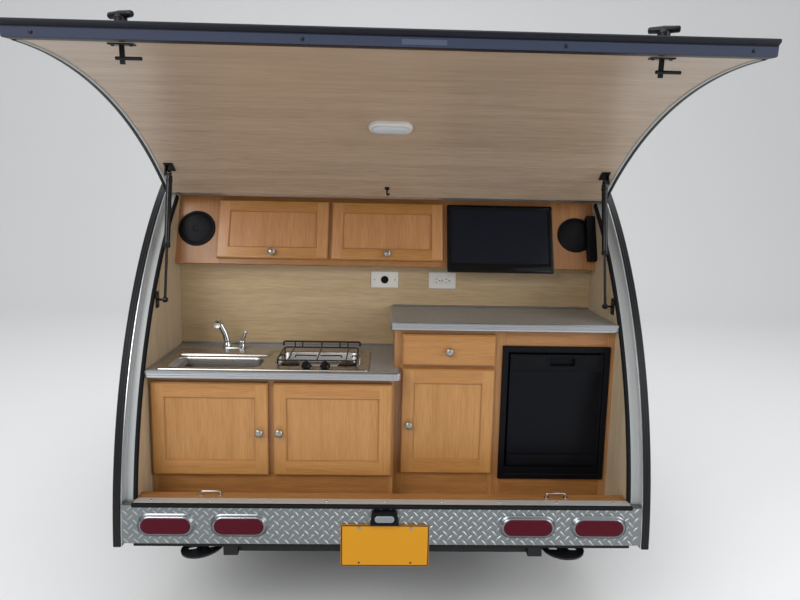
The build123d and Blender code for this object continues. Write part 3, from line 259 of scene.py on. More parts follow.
def lathe(profile, start, axis, steps, index=0):
    """Profile of (distance along the axis, radius) rows in mm spun about an axis through a point."""
    axis = np.asarray(axis, dtype=float)
    side = np.cross(axis, (0.0, 0.0, 1.0) if abs(axis[2]) < 0.9 else (1.0, 0.0, 0.0))
    side /= np.linalg.norm(side)
    turn = np.linspace(0.0, 2.0 * np.pi, steps, endpoint=False)
    ring = np.cos(turn)[:, None] * side - np.sin(turn)[:, None] * np.cross(axis, side)
    profile = np.asarray(profile, dtype=float)
    spots = profile[:, 0, None, None] * axis + profile[:, 1, None, None] * ring + np.asarray(start, dtype=float)
    return grid(place(spots), close_v=True, index=index)


silver_paint, tree, shader = surface("steel_painted_silver", "#b4b8bc", 0.34, 0.75)
shader.inputs["Coat Weight"].default_value = 0.4
coat(silver_paint, "wheel_left", "wheel_right")
nut_chrome, _, _ = surface("steel_chromed", "#b9bcbf", 0.1, 1.0)
tyre_rubber, tree, shader = surface("rubber_moulded", "#202021", 0.82, shine=0.3)
spot = add(tree, "ShaderNodeTexCoord").outputs["Object"]
grain = add(tree, "ShaderNodeTexNoise", {"Vector": spot, "Scale": 900.0, "Detail": 2.0})
bumped(tree, shader, grain.outputs["Fac"], 0.15)

hub_z = -90.0
for hand, sign in (("left", -1.0), ("right", 1.0)):
    hub = np.array([sign * 1048.0, 1330.0, hub_z])
    # Round the section from bead to bead, then blocks cut by grooves round and across the tread.
    section = np.array([
        (79.6, 185.0), (87.0, 196.0), (91.1, 222.0), (92.5, 256.0), (91.1, 286.0), (87.0, 306.0),
        (83.2, 314.0), (75.9, 324.5), (64.8, 328.5), (51.8, 329.5), (51.8, 322.5), (46.3, 322.5),
        (46.3, 329.8), (22.2, 330.0), (22.2, 322.5), (16.7, 322.5), (16.7, 330.0), (0.0, 330.0),
    ])
    section = np.concatenate([section, section[-2::-1] * (-1.0, 1.0)])
    turn = np.linspace(0.0, 2.0 * np.pi, 432, endpoint=False)
    sipe = (np.arange(432) % 6 < 1)[None] & (section[:, 1] > 300.0)[:, None]
    reach = section[:, 1, None] - 6.0 * sipe * np.minimum(1.0, (section[:, 1, None] - 300.0) / 20.0)
    spots = np.stack([
        np.repeat(section[:, 0, None], 432, 1), reach * np.cos(turn), reach * np.sin(turn),
    ], axis=-1) + hub
    tyre = built(f"tyre_tread_{hand}", [grid(place(spots), close_v=True)], [tyre_rubber], 30.0,
                 f"wheel_{hand}", closed=False)
    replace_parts(tyre, f"tyre_{hand}")
    nuts = [lathe(
        [(0.0, 10.5), (16.0, 10.5), (20.0, 8.0), (21.0, 0.0)],
        hub + (sign * 16.5, 57.0 * math.cos(a), 57.0 * math.sin(a)), (sign, 0.0, 0.0), 6,
    ) for a in np.linspace(0.0, 2.0 * np.pi, 5, endpoint=False)]
    cap = lathe([(48.0, 36.0), (58.0, 35.0), (64.0, 30.0), (68.0, 18.0), (69.0, 0.0)], hub,
        (sign, 0.0, 0.0), 48)
    built(f"wheel_nuts_{hand}", nuts + [cap], [nut_chrome], 30.0, f"wheel_{hand}")


# Fenders, roof and walls outside: aluminium sheet as it left the mill, with fine rolling
# lines along its length and the slow waves that thin sheet takes on a curved frame.
sheet, tree, shader = surface("aluminium_mill_sheet", "#d4d7da", 0.3, 1.0)
spot = add(tree, "ShaderNodeTexCoord").outputs["Object"]
lines = add(tree, "ShaderNodeMapping", {"Vector": spot, "Scale": (900.0, 6.0, 900.0)})
rolled = add(tree, "ShaderNodeTexNoise", {"Vector": lines.outputs["Vector"], "Scale": 1.0, "Detail": 3.0})
tone = add(tree, "ShaderNodeMapRange", {"Value": rolled.outputs["Fac"], "To Min": 0.22, "To Max": 0.38})
tree.links.new(tone.outputs["Result"], shader.inputs["Roughness"])
wave = add(tree, "ShaderNodeTexNoise", {"Vector": spot, "Scale": 2.2, "Detail": 1.0})
bumped(tree, shader, wave.outputs["Fac"], 2.0)
coat(sheet, "roof_shell", "fenders")

# Galley plywood: birch veneer under clear varnish, on the side walls' inner faces, the
# bulkhead and the hatch's underside, with pale streaks along the sheet and faint pores.
def veneer(tree, pale, dark, along, stretch=(1.6, 34.0), turn=0.0):
    """Colour of a veneer whose grain runs along an axis, from streaks, pores and each board's own tone."""
    spot = add(tree, "ShaderNodeTexCoord").outputs["Object"]
    board = add(tree, "ShaderNodeAttribute", attribute_name="board").outputs
    moved = add(tree, "ShaderNodeVectorMath", {0: board["Vector"], 1: (9.0, 9.0, 9.0), 2: spot},
        operation="MULTIPLY_ADD")
    drawn = []
    for rate in (1.0, 9.0):
        size = [1.0 / (stretch[1] * rate)] * 3
        size[along] = 1.0 / (stretch[0] * rate)
        drawn.append(add(tree, "ShaderNodeMapping", {
            "Vector": moved.outputs["Vector"], "Rotation": (-turn, 0.0, 0.0), "Scale": size,
        }, vector_type="TEXTURE").outputs["Vector"])
    streak = add(tree, "ShaderNodeTexNoise", {
        "Vector": drawn[0], "Scale": 1.0, "Detail": 5.0, "Roughness": 0.6, "Distortion": 0.4,
    })
    pore = add(tree, "ShaderNodeTexNoise", {"Vector": drawn[1], "Scale": 1.0, "Detail": 2.0})
    both = add(tree, "ShaderNodeMath", {0: streak.outputs["Fac"], 1: pore.outputs["Fac"]}, operation="ADD")
    toned = add(tree, "ShaderNodeMath", {0: board["Fac"], 1: 0.16, 2: both.outputs["Value"]},
        operation="MULTIPLY_ADD")
    level = add(tree, "ShaderNodeMapRange", {"Value": toned.outputs["Value"], "From Min": 0.72,
        "From Max": 1.28})
    ramp = add(tree, "ShaderNodeValToRGB", {"Fac": level.outputs["Result"]})
    ramp.color_ramp.elements[0].color = linear(dark)
    ramp.color_ramp.elements[1].color = linear(pale)
    return ramp.outputs["Color"], pore.outputs["Fac"]


def timber(name, pale, dark, along, roughness=0.38, stretch=(1.6, 34.0), turn=0.0):
    """Varnished veneer or board as a material."""
    made, tree, shader = surface(name, pale, roughness)
    colour, pore = veneer(tree, pale, dark, along, stretch, turn)
    tree.links.new(colour, shader.inputs["Base Color"])
    bumped(tree, shader, pore, 0.05)
    shader.inputs["Coat Weight"].default_value = 0.25
    shader.inputs["Coat Roughness"].default_value = 0.3
    return made


birch_across = timber("birch_ply_varnished", "#c1a984", "#ab916c", 0)
coat(birch_across, "bulkhead")
# Floor deck: varnished birch veneer on its top face; below that face its edges and underside are near-black,
# painted shade under the body.
floor_ply, tree, shader = surface("birch_ply_shaded_below", "#17171a", 0.6, shine=0.2)
colour, pore = veneer(tree, "#c1a984", "#ab916c", 1)
spot = add(tree, "ShaderNodeTexCoord").outputs["Object"]
apart = add(tree, "ShaderNodeSeparateXYZ", {"Vector": spot})
above = add(tree, "ShaderNodeMath", {0: apart.outputs["Z"], 1: deck + 0.0375}, operation="GREATER_THAN")
both = add(tree, "ShaderNodeMix", {"Factor": above.outputs["Value"], 6: linear("#17171a"), 7: colour},
    data_type="RGBA")
tree.links.new(both.outputs[2], shader.inputs["Base Color"])
coat(floor_ply, "floor_deck")

wall_sandwich, tree, shader = surface("wall_sheet_over_birch", "#d4d7da", 0.3)
colour, pore = veneer(tree, "#c9b79c", "#b09c80", 2)
spot = add(tree, "ShaderNodeTexCoord").outputs["Object"]
apart = add(tree, "ShaderNodeSeparateXYZ", {"Vector": spot})
reach = add(tree, "ShaderNodeMath", {0: apart.outputs["X"]}, operation="ABSOLUTE")
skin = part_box("side_wall_right")[1][0] - 0.0219
outside = add(tree, "ShaderNodeMath", {0: reach.outputs["Value"], 1: skin}, operation="GREATER_THAN")
both = add(tree, "ShaderNodeMix", {"Factor": outside.outputs["Value"], 6: colour, 7: linear("#d4d7da")},
    data_type="RGBA")
tree.links.new(both.outputs[2], shader.inputs["Base Color"])
tree.links.new(outside.outputs["Value"], shader.inputs["Metallic"])
wave = add(tree, "ShaderNodeTexNoise", {"Vector": spot, "Scale": 2.2, "Detail": 1.0})
bumped(tree, shader, wave.outputs["Fac"], 2.0)
coat(wall_sandwich, "side_wall_left", "side_wall_right", "entry_door_left", "entry_door_right")


# Wall edges: a ridged black vinyl moulding capped over the outer ply's edge all round the
# side, then a grey painted jamb and a black bulb seal on the ledge that the hatch shuts on.
arcs = [(1620.0, 54.0), (950.0, 90.0), (6000.0, 99.5), (1080.0, 180.0), (700.0, 270.0)]
foot_lean, hinge_heading, hatch_open, wall_foot = 2.5, 51.7, 77.0, -12.0
body_half, inner_half, shell = 914.4, 856.0, 32.0


def arc_rows():
    """Centre, radius and end heading of each outline arc, each tangent to the one before."""
    lean = math.radians(foot_lean)
    y, z = arcs[0][0] * math.cos(lean), -arcs[0][0] * math.sin(lean)
    rows = [(y, z, *arcs[0])]
    for (r0, end), (r1, next_end) in zip(arcs, arcs[1:]):
        y -= (r0 - r1) * math.cos(math.radians(end))
        z += (r0 - r1) * math.sin(math.radians(end))
        rows.append((y, z, r1, next_end))
    return np.array(rows)


outline_rows = arc_rows()


def outline(headings, inset=0.0):
    """Points (y, z) of the side outline at headings in degrees, and their outward normals."""
    headings = np.asarray(headings, dtype=float)
    row = outline_rows[np.searchsorted(outline_rows[:-1, 3], headings, side="left")]
    turn = np.radians(headings)
    normal = np.stack([-np.cos(turn), np.sin(turn)], axis=-1)
    return row[..., :2] + (row[..., 2, None] - inset) * normal, normal


def foot_heading(inset, z):
    """Heading at which the rear arc, at an inset, stands at a height."""
    return math.degrees(math.asin((z - outline_rows[0, 1]) / (arcs[0][0] - inset)))


def strip(profile, headings, inset, index=0, caps=True, swing=None):
    """Closed profile of (x, outward) millimetres carried along the outline at an inset."""
    spots, normal = outline(headings, inset)
    profile = np.asarray(profile, dtype=float)
    y_z = spots[:, None] + profile[None, :, 1, None] * normal[:, None]
    if swing:
        y_z = swing(y_z)
    points = np.concatenate([np.repeat(profile[None, :, :1], len(spots), 0), y_z], axis=-1)
    shape = grid(place(points), close_v=True, index=index)
    if not caps:
        return [shape]
    count = len(profile)
    last = (len(spots) - 1) * count
    return [shape, (shape[0], [range(count), range(last, last + count)], index, 0.0)]


def mirrored(profile, sign):
    """Profile flipped across the centre plane, kept turning the same way round."""
    profile = np.asarray(profile, dtype=float) * (sign, 1.0)
    return profile if sign > 0 else profile[::-1]


vinyl, tree, shader = surface("vinyl_moulded_black", "#131417", 0.42, shine=0.25)
spot = add(tree, "ShaderNodeTexCoord").outputs["Object"]
grain = add(tree, "ShaderNodeTexNoise", {"Vector": spot, "Scale": 700.0, "Detail": 2.0})
bumped(tree, shader, grain.outputs["Fac"], 0.04)
seal_rubber, tree, shader = surface("rubber_foamed_black", "#0f1012", 0.75, shine=0.2)
jamb_paint, tree, shader = surface("aluminium_painted_grey", "#aaadad", 0.45)
nose_end = 180.0 + math.degrees(math.asin((outline_rows[-1, 1] - wall_foot) / arcs[-1][0]))
rim = [foot_heading(0.0, wall_foot), *np.linspace(3.0, 54.0, 52), *np.linspace(56.0, 90.0, 18),
       *np.linspace(91.0, 99.5, 8), *np.linspace(103.0, 180.0, 26), *np.linspace(184.0, nose_end, 16)]
# The head is 26 mm wide with three shallow grooves, and a lip turned down the outer face.
head = [
    (body_half + 0.4, -9.0), (body_half + 8.0, -8.0), (body_half + 8.4, 1.0), (body_half + 6.5, 4.0),
    (body_half + 3.0, 5.0), (body_half + 1.6, 3.8), (body_half - 1.0, 3.8), (body_half - 2.4, 5.2),
    (body_half - 6.0, 5.2), (body_half - 7.4, 3.8), (body_half - 9.8, 3.8), (body_half - 11.2, 5.0),
    (body_half - 15.5, 4.6), (body_half - 17.8, 3.0), (body_half - 17.8, 0.4), (body_half + 0.4, 0.4),
]
for hand, sign in (("left", -1.0), ("right", 1.0)):
    built(f"edge_moulding_{hand}", strip(mirrored(head[::-1], sign), rim, 0.0), [vinyl], 50.0, "root")
    ledge = np.linspace(foot_heading(shell, 138.5), hinge_heading - 0.3, 60)
    jamb = [
        (inner_half + 9.0, 0.3), (inner_half + 9.0, 1.6), (inner_half + 34.4, 1.6), (inner_half + 36.6, 4.2),
        (inner_half + 36.6, 26.0), (inner_half + 37.2, 26.0), (inner_half + 37.2, 0.3),
    ]
    built(f"jamb_{hand}", strip(mirrored(jamb, sign), ledge, shell), [jamb_paint], 40.0, "root")
    turn = np.linspace(0.0, np.pi, 9)
    bulb = [(inner_half - 2.6, -12.0), (inner_half - 2.6, 1.2)]
    bulb += [(inner_half + 3.2 - 5.6 * math.cos(a), 1.4 + 3.6 * math.sin(a)) for a in turn]
    bulb += [(inner_half + 8.6, 0.3), (inner_half - 0.3, 0.3), (inner_half - 0.3, -12.0)]
    built(f"hatch_seal_{hand}", strip(mirrored(bulb, sign), ledge, shell), [seal_rubber], 50.0, "root")


# Entry doors: windows of tinted acrylic in black gaskets, and the same moulding round the
# door's opening.
acrylic, tree, shader = surface("acrylic_tinted", "#5c666c", 0.04)
shader.inputs["Transmission Weight"].default_value = 0.85
shader.inputs["IOR"].default_value = 1.49
coat(acrylic, "window_left", "window_right")


def laid(frame, points):
    """Points (across, along, out) of a frame of an origin and three directions."""
    return place(np.asarray(frame)[0] + np.asarray(points, dtype=float) @ np.asarray(frame)[1:])


def rounded(across, along, radius, grow=0.0, steps=10):
    """Rounded rectangle between two spans, grown by a distance, as (across, along) points."""
    turn = np.concatenate([np.linspace(start, start + np.pi / 2, steps) for start in np.arange(4) * np.pi / 2])
    turned = max(radius + grow, 0.5)
    way = np.repeat([(1, 1), (-1, 1), (-1, -1), (1, -1)], steps, axis=0)
    edge = np.where(way > 0, (across[1], along[1]), (across[0], along[0])) + way * (grow - turned)
    return edge + turned * np.stack([np.cos(turn), np.sin(turn)], axis=-1)


def rimmed(frame, across, along, radius, profile, close=False, index=0, steps=10):
    """Profile of (outward, out) rows carried round a rounded rectangle."""
    spots = np.stack([
        np.concatenate([rounded(across, along, radius, grow, steps), np.full((4 * steps, 1), out)], axis=-1)
        for grow, out in profile
    ], axis=1)
    return grid(laid(frame, spots), close_u=True, close_v=close, index=index)


door_y, door_z, window_y, window_z = (1800.0, 2440.0), (110.0, 1130.0), (1900.0, 2340.0), (640.0, 1010.0)
for hand, sign in (("left", -1.0), ("right", 1.0)):
    outside = np.array([(sign * body_half, 0.0, 0.0), (0.0, 1.0, 0.0), (0.0, 0.0, 1.0), (sign, 0.0, 0.0)])
    gasket = [(4.0, -12.5), (-6.0, -12.5), (-8.0, -8.0), (-8.0, 2.0), (-5.0, 5.0), (14.0, 5.5), (18.0, 3.5),
              (18.5, 0.3), (0.0, 0.3)]
    built(f"window_gasket_{hand}", [rimmed(outside, window_y, window_z, 70.0, gasket, True)], [seal_rubber],
        45.0,
          f"entry_door_{hand}")
    edge = [(-1.0, 0.3), (-20.0, 0.3), (-22.0, 2.0), (-20.5, 4.5), (-14.0, 5.5), (-12.0, 4.2), (-10.0, 4.2),
            (-8.0, 5.5), (-1.0, 5.0), (0.0, 3.0)]
    built(f"door_moulding_{hand}", [rimmed(outside, door_y, door_z, 150.0, edge, True)], [vinyl], 45.0,
          f"entry_door_{hand}")

# Cabinets: birch ply boxes with face frames of solid maple, oiled a honey brown, screwed to
# the side walls and the bulkhead; each stile and rail is its own board, seen by its grain.
def plank(low, high, ease=0.8, index=0, board=0.0, frame=None):
    """Board between two corners: six faces, each drawn in by the easing, joined by chamfers."""
    low, high = np.minimum(low, high).astype(float), np.maximum(low, high).astype(float)
    way = np.array([(x, y, z) for x in (-1, 1) for y in (-1, 1) for z in (-1, 1)])
    corner = np.where(way > 0, high, low)
    spots = np.repeat(corner[:, None], 3, 1) - ease * way[:, None] * (1 - np.eye(3))[None]
    near = {tuple(w): 3 * i for i, w in enumerate(way.tolist())}
    sides = [[near[x, y, z], near[x, y, z] + 1, near[x, y, z] + 2] for x, y, z in near]
    for axis in range(3):
        b, c = (axis + 1) % 3, (axis + 2) % 3
        for s in (-1, 1):
            turn = []
            for t in ((-1, -1), (1, -1), (1, 1), (-1, 1)):
                key = [0, 0, 0]
                key[axis], key[b], key[c] = s, *t
                turn.append(near[tuple(key)] + axis)
            sides.append(turn)
            for t in (-1, 1):
                ends = []
                for e in (-1, 1):
                    key = [0, 0, 0]
                    key[axis], key[b], key[c] = e, s, t
                    ends.append(near[tuple(key)])
                sides.append([ends[0] + b, ends[1] + b, ends[1] + c, ends[0] + c])
    spots = spots.reshape(-1, 3)
    return (laid(frame, spots) if frame is not None else place(spots)), sides, index, board


def shade(count):
    """Spread of tones for a number of boards, the same each time."""
    return np.modf(np.arange(1, count + 1) * 0.618)[0] - 0.5


maple = [
    timber("maple_oiled_upright", "#bd8a50", "#a6743a", 2),
    timber("maple_oiled_across", "#b68247", "#9f6c34", 0),
]
# The face frames' two maples are darker copies of the doors' maple: painted shade on the same wood.
frame_maple = [
    timber("maple_frame_upright", "#ac7c48", "#936334", 2),
    timber("maple_frame_across", "#a67541", "#8c5c2f", 0),
    timber("birch_ply_shelf", "#c3a87f", "#ab8c62", 0),
]
cab, low_front, high_front, back = 855.6, 209.25, 281.25, 627.8
floor_top, low_under, high_under, step = 38.0, 537.0, 707.0, 30.0
frame_t, ply = 13.0, 15.0
fridge_x, fridge_z = (434.0, 840.0), (123.0, 644.0)
low_in, high_in = low_front + frame_t, high_front + frame_t
members = [
    # Low cabinet: end stile, middle stile, step stile, then its top and bottom rails.
    ((-cab, -833.0), (low_front, low_in), (floor_top, low_under), 0),
    ((-439.0, -395.0), (low_front, low_in), (177.0, 501.0), 0),
    ((10.0, step), (low_front, high_front), (floor_top, low_under), 0),
    ((-833.0, 10.0), (low_front, low_in), (floor_top, 177.0), 1),
    ((-833.0, 10.0), (low_front, low_in), (501.0, low_under), 1),
    # High cabinet: three stiles, the rails round the drawer and pantry, then round the fridge.
    ((step, 71.0), (high_front, high_in), (floor_top, high_under), 0),
    ((394.0, 445.0), (high_front, high_in), (floor_top, high_under), 0),
    ((829.0, cab), (high_front, high_in), (floor_top, high_under), 0),
    ((71.0, 394.0), (high_front, high_in), (672.5, high_under), 1),
    ((71.0, 394.0), (high_front, high_in), (542.5, 579.5), 1),
    ((71.0, 394.0), (high_front, high_in), (floor_top, 159.0), 1),
    ((445.0, 829.0), (high_front, high_in), (633.0, high_under), 1),
    ((445.0, 829.0), (high_front, high_in), (floor_top, 134.0), 1),
    # Boxes behind: ends, divisions, bottoms and the fridge's shelf.
    ((-cab, ply - cab), (low_in, back), (floor_top, low_under), 0),
    ((step, step + ply), (high_in, back), (floor_top, high_under), 0),
    ((407.0, 422.0), (high_in, back), (floor_top, high_under), 0),
    ((cab - ply, cab), (high_in, back), (floor_top, high_under), 0),
    ((ply - cab, step), (low_in, back), (floor_top, floor_top + ply), 2),
    ((step + ply, cab - ply), (high_in, back), (floor_top, floor_top + ply), 2),
    ((422.0, cab - ply), (high_in, back), (121.8, 136.8), 2),
]
base = built("base_cabinet_boards", [
    plank(*np.transpose((x, y, z)), index=index, board=tone)
    for (x, y, z, index), tone in zip(members, shade(len(members)))
], frame_maple, body="root")
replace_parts(base, "base_cabinet")

# Upper cabinet: the same, its front leaning with the hatch, the ends left plain for speakers
# and the right part for the television.
lean = math.hypot(107.0, 280.0)
along, ahead = 280.0 / lean, 107.0 / lean
front = np.array([(0.0, 560.0, 905.0), (1.0, 0.0, 0.0), (0.0, ahead, along), (0.0, -along, ahead)])
leaning = math.atan2(107.0, 280.0)
# The upper frame's stiles take a darker copy of the maple than the upper doors' panels: painted shade on the same
# wood.
upper_maple = [
    timber("maple_lean_upright", "#ac7a4a", "#936138", 2, turn=leaning),
    frame_maple[1], frame_maple[2],
]
members = [
    ((-cab, -678.0), (0.0, lean), 0), ((-255.0, -216.0), (34.0, 255.0), 0), ((214.0, cab), (0.0, lean), 0),
    ((-678.0, 214.0), (0.0, 34.0), 1), ((-678.0, 214.0), (255.0, lean), 1),
]
boards = [
    plank((a[0], b[0], -frame_t), (a[1], b[1], 0.0), index=index, board=tone, frame=front)
    for (a, b, index), tone in zip(members, shade(len(members)))
]
# The box behind is a folded panel of ply: bottom, back and top in section, closed by its ends.
section = np.array([
    (574.0, 905.0), (839.8, 905.0), (839.8, 1184.8), (681.0, 1184.8),
    (675.0, 1170.0), (825.0, 1170.0), (825.0, 920.0), (580.0, 920.0),
])
for x0, x1, shape in ((-cab + ply, cab - ply, section), (-cab, -cab + ply, section[:4]),
    (cab - ply, cab, section[:4])):
    ends = np.array([[(x, y, z) for y, z in shape] for x in (x0, x1)])
    n = len(shape)
    boards += [grid(place(ends), close_v=True, index=2), (place(ends).reshape(-1, 3),
        [range(n), range(n, 2 * n)], 2, 0.0)]
upper = built("upper_cabinet_boards", boards, upper_maple, body="root")
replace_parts(upper, "upper_cabinet")


# Cabinet doors and drawer front: maple frames coped and glued round a thin panel, with a
# bead run on the inner edge and an eased outer edge that catches the light, and a turned
# knob of satin nickel.
def moulded(frame, across, along, profile, tones, indices):
    """Profile of (outward, out) rows carried round a rectangle, one side at a time, mitred."""
    way = np.array([(1, 1), (-1, 1), (-1, -1), (1, -1)])
    corner = np.where(way > 0, (across[1], along[1]), (across[0], along[0]))
    profile = np.asarray(profile, dtype=float)
    spots = np.concatenate([
        corner[:, None] + way[:, None] * profile[None, :, :1],
        np.broadcast_to(profile[None, :, 1:], (4, len(profile), 1)),
    ], axis=-1)
    return [
        grid(laid(frame, spots[[k, (k + 1) % 4]]), index=indices[k % 2], board=tones[k % 4])
        for k in range(4)
    ]


def pane(frame, across, along, out, index=0, board=0.0):
    """Flat rectangle at a distance out."""
    spots = [[(a, b, out) for b in along] for a in across]
    return grid(laid(frame, spots), index=index, board=board)


def knob(frame, across, along, out, size=1.0):
    """Mushroom knob: a waisted neck under a dished round head with a rolled rim."""
    rows = np.array([
        (0.0, 8.5), (1.5, 8.2), (3.5, 6.0), (8.0, 5.2), (11.0, 6.5), (13.0, 11.0), (14.5, 14.0), (16.5, 15.0),
        (19.0, 14.8), (21.0, 13.2), (22.0, 11.6), (21.6, 10.2), (22.4, 8.5), (23.4, 5.0), (23.7, 0.0),
    ])
    rows[:, 0] += 0.1
    start = frame[0] + np.array((across, along, out)) @ frame[1:]
    return lathe(rows * size, start, frame[3], 40, index=2)


def framed_door(name, frame, across, along, thick, stile, rail, spot, tone=0.0):
    """Door of two stiles, two rails, beads, a sunk panel front and back, and its knob."""
    (a0, a1), (b0, b1) = across, along
    inner_a, inner_b = (a0 + stile, a1 - stile), (b0 + rail, b1 - rail)
    tones = tone + shade(5) * 0.9
    outer = [(0.0, 0.0), (0.0, thick - 5.0), (-0.5, thick - 4.2), (-1.6, thick - 3.6), (-2.4, thick - 2.2),
             (-3.6, thick - 0.9), (-5.4, thick - 0.3), (-7.0, thick)]
    bead = [(0.0, thick), (-0.3, thick - 1.2), (-1.4, thick - 1.5), (-2.8, thick - 2.0), (-4.0, thick - 3.4),
            (-4.5, thick - 5.0), (-4.7, thick - 7.4)]
    shapes = moulded(frame, across, along, outer, tones, (1, 0))
    # The beads' boards are toned well below the frame's: painted shade in the groove round the panel.
    shapes += moulded(frame, inner_a, inner_b, bead, tones - 1.2, (1, 0))
    shapes += moulded(frame, inner_a, inner_b, [(0.0, 0.0), (0.0, 3.5)], tones, (1, 0))
    edge = 7.0
    for out, e in ((thick, edge), (0.0, 0.0)):
        shapes += [
            pane(frame, (a0 + e, inner_a[0]), (b0 + e, b1 - e), out, 0, tones[1]),
            pane(frame, (inner_a[1], a1 - e), (b0 + e, b1 - e), out, 0, tones[3]),
            pane(frame, inner_a, (b0 + e, inner_b[0]), out, 1, tones[2]),
            pane(frame, inner_a, (inner_b[1], b1 - e), out, 1, tones[0]),
        ]
    shapes.append(pane(frame, (inner_a[0] + 4.7, inner_a[1] - 4.7), (inner_b[0] + 4.7, inner_b[1] - 4.7),
                       thick - 7.4, 0, tones[4]))
    shapes.append(pane(frame, inner_a, inner_b, 3.5, 0, tones[4]))
    shapes.append(knob(frame, *spot, thick))
    materials = lean_maple if "upper" in name else maple
    made = built(f"{name}_joinery", shapes, [*materials, nickel], 28.0, name)
    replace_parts(made, name)


nickel, tree, shader = surface("zinc_satin_nickel", "#a9a6a0", 0.3, 1.0)
lean_maple = [timber("maple_lean_panel", "#c28e5c", "#a97546", 2, turn=leaning), maple[1]]
plumb = [(1.0, 0.0, 0.0), (0.0, 0.0, 1.0), (0.0, -1.0, 0.0)]
low_plane = np.array([(0.0, 209.0, 0.0), *plumb])
high_plane = np.array([(0.0, 281.0, 0.0), *plumb])
lid_plane = front.copy()
lid_plane[0] += 1.0 * front[3]
framed_door("sink_door_left", low_plane, (-845.0, -427.0), (165.0, 513.0), 19.0, 44.0, 53.0,
    (-457.0, 331.0), -0.1)
framed_door("sink_door_right", low_plane, (-407.0, 22.0), (165.0, 513.0), 19.0, 44.0, 53.0, (-386.0, 331.0),
    0.1)
framed_door("pantry_door", high_plane, (59.0, 406.0), (147.0, 554.5), 19.0, 44.0, 53.0, (87.0, 340.0), 0.2)
framed_door("upper_door_left", lid_plane, (-690.0, -243.0), (22.0, 267.0), 15.0, 44.0, 44.0, (-466.5, 46.0),
    0.0)
framed_door("upper_door_right", lid_plane, (-228.0, 226.0), (22.0, 267.0), 15.0, 44.0, 44.0, (-1.0, 46.0), 0.15)

slab = moulded(high_plane, (59.0, 406.0), (567.5, 684.5), [
    (0.0, 0.0), (0.0, 13.0), (-0.6, 14.0), (-2.0, 14.6), (-3.0, 16.2), (-4.6, 18.0), (-7.0, 18.8), (-9.0, 19.0),
], np.zeros(4) + 0.1, (1, 1))
slab += [pane(high_plane, (68.0, 397.0), (576.5, 675.5), 19.0, 1, 0.1),
         pane(high_plane, (59.0, 406.0), (567.5, 684.5), 0.0, 1, 0.1)]
slab.append(knob(high_plane, 232.5, 623.0, 19.0))
box_x, box_y, box_z = (77.0, 388.0), (281.2, 611.0), (585.5, 662.5)
for x, y, z in (
    ((box_x[0], box_x[0] + 10), box_y, box_z), ((box_x[1] - 10, box_x[1]), box_y, box_z),
    ((box_x[0] + 10, box_x[1] - 10), (box_y[0], box_y[0] + 10), box_z),
    ((box_x[0] + 10, box_x[1] - 10), (box_y[1] - 10, box_y[1]), box_z),
    ((box_x[0] + 10, box_x[1] - 10), (box_y[0] + 10, box_y[1] - 10), (box_z[0], box_z[0] + 10)),
):
    slab.append(plank(*np.transpose((x, y, z)), index=3))
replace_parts(built("drawer_joinery", slab, [*maple, nickel, frame_maple[2]], 28.0, "drawer"), "drawer")

# Worktops: chipboard under speckled grey laminate, their fronts and open ends banded with a
# ridged aluminium extrusion bent round the corners, and a thin angle against the bulkhead.
laminate, tree, shader = surface("laminate_speckled_grey", "#858481", 0.4)
spot = add(tree, "ShaderNodeTexCoord").outputs["Object"]
fleck = add(tree, "ShaderNodeTexVoronoi", {"Vector": spot, "Scale": 520.0})
cloud = add(tree, "ShaderNodeTexNoise", {"Vector": spot, "Scale": 90.0, "Detail": 4.0})
both = add(tree, "ShaderNodeMath", {0: fleck.outputs["Color"], 1: cloud.outputs["Fac"]}, operation="MULTIPLY")
ramp = add(tree, "ShaderNodeValToRGB", {"Fac": both.outputs["Value"]})
ramp.color_ramp.elements[0].color = linear("#757370")
ramp.color_ramp.elements[1].position = 0.55
ramp.color_ramp.elements[1].color = linear("#9f9e9b")
tree.links.new(ramp.outputs["Color"], shader.inputs["Base Color"])
coat(laminate, "worktops")
extruded, tree, shader = surface("aluminium_extruded_bright", "#b4b8bc", 0.3, 1.0)
spot = add(tree, "ShaderNodeTexCoord").outputs["Object"]
drawn = add(tree, "ShaderNodeMapping", {"Vector": spot, "Scale": (4.0, 4.0, 1500.0)})
lines = add(tree, "ShaderNodeTexNoise", {"Vector": drawn.outputs["Vector"], "Scale": 1.0, "Detail": 2.0})
bumped(tree, shader, lines.outputs["Fac"], 0.01)
low_top, high_top = 561.0, 731.0
band = np.array([
    (0.2, -1.5), (2.2, -1.5), (3.0, 0.5), (3.0, 4.0), (2.2, 5.0), (2.2, 7.0), (3.0, 8.0), (3.0, 12.0),
    (2.2, 13.0),
    (2.2, 15.0), (3.0, 16.0), (3.3, 20.0), (2.6, 23.2), (0.8, 24.9), (-5.0, 25.2), (-6.0, 24.1), (0.2, 24.1),
])
edges = []
for start, middle, turn, end, foot in (
    ((-855.4, 168.0), (38.0, 180.0), (-90.0, 0.0), (50.0, 261.0), low_top - 24.0),
    ((855.4, 248.0), (28.0, 260.0), (-90.0, -180.0), (16.0, 627.0), high_top - 24.0),
):
    turn = np.radians(np.linspace(*turn, 9))
    way = np.stack([np.cos(turn), np.sin(turn)], axis=-1)
    spots = np.concatenate([[start], np.array(middle) + 12.0 * way, [end]])
    way = np.concatenate([way[:1], way, way[-1:]])
    level_points = spots[:, None] + way[:, None] * band[None, :, :1]
    height = np.broadcast_to(foot + band[None, :, 1:], (len(spots), len(band), 1))
    edges.append(grid(place(np.concatenate([level_points, height], axis=-1)), close_v=True))
    n = len(band)
    edges.append((edges[-1][0], [range(n), range(n * (len(spots) - 1), n * len(spots))], 0, 0.0))
for x, z in (((-855.4, 29.6), low_top), ((30.4, 855.4), high_top)):
    edges.append(plank((x[0], 621.0, z + 0.1), (x[1], 627.7, z + 7.0), 1.5))
built("worktop_edging", edges, [extruded], 30.0, "root")


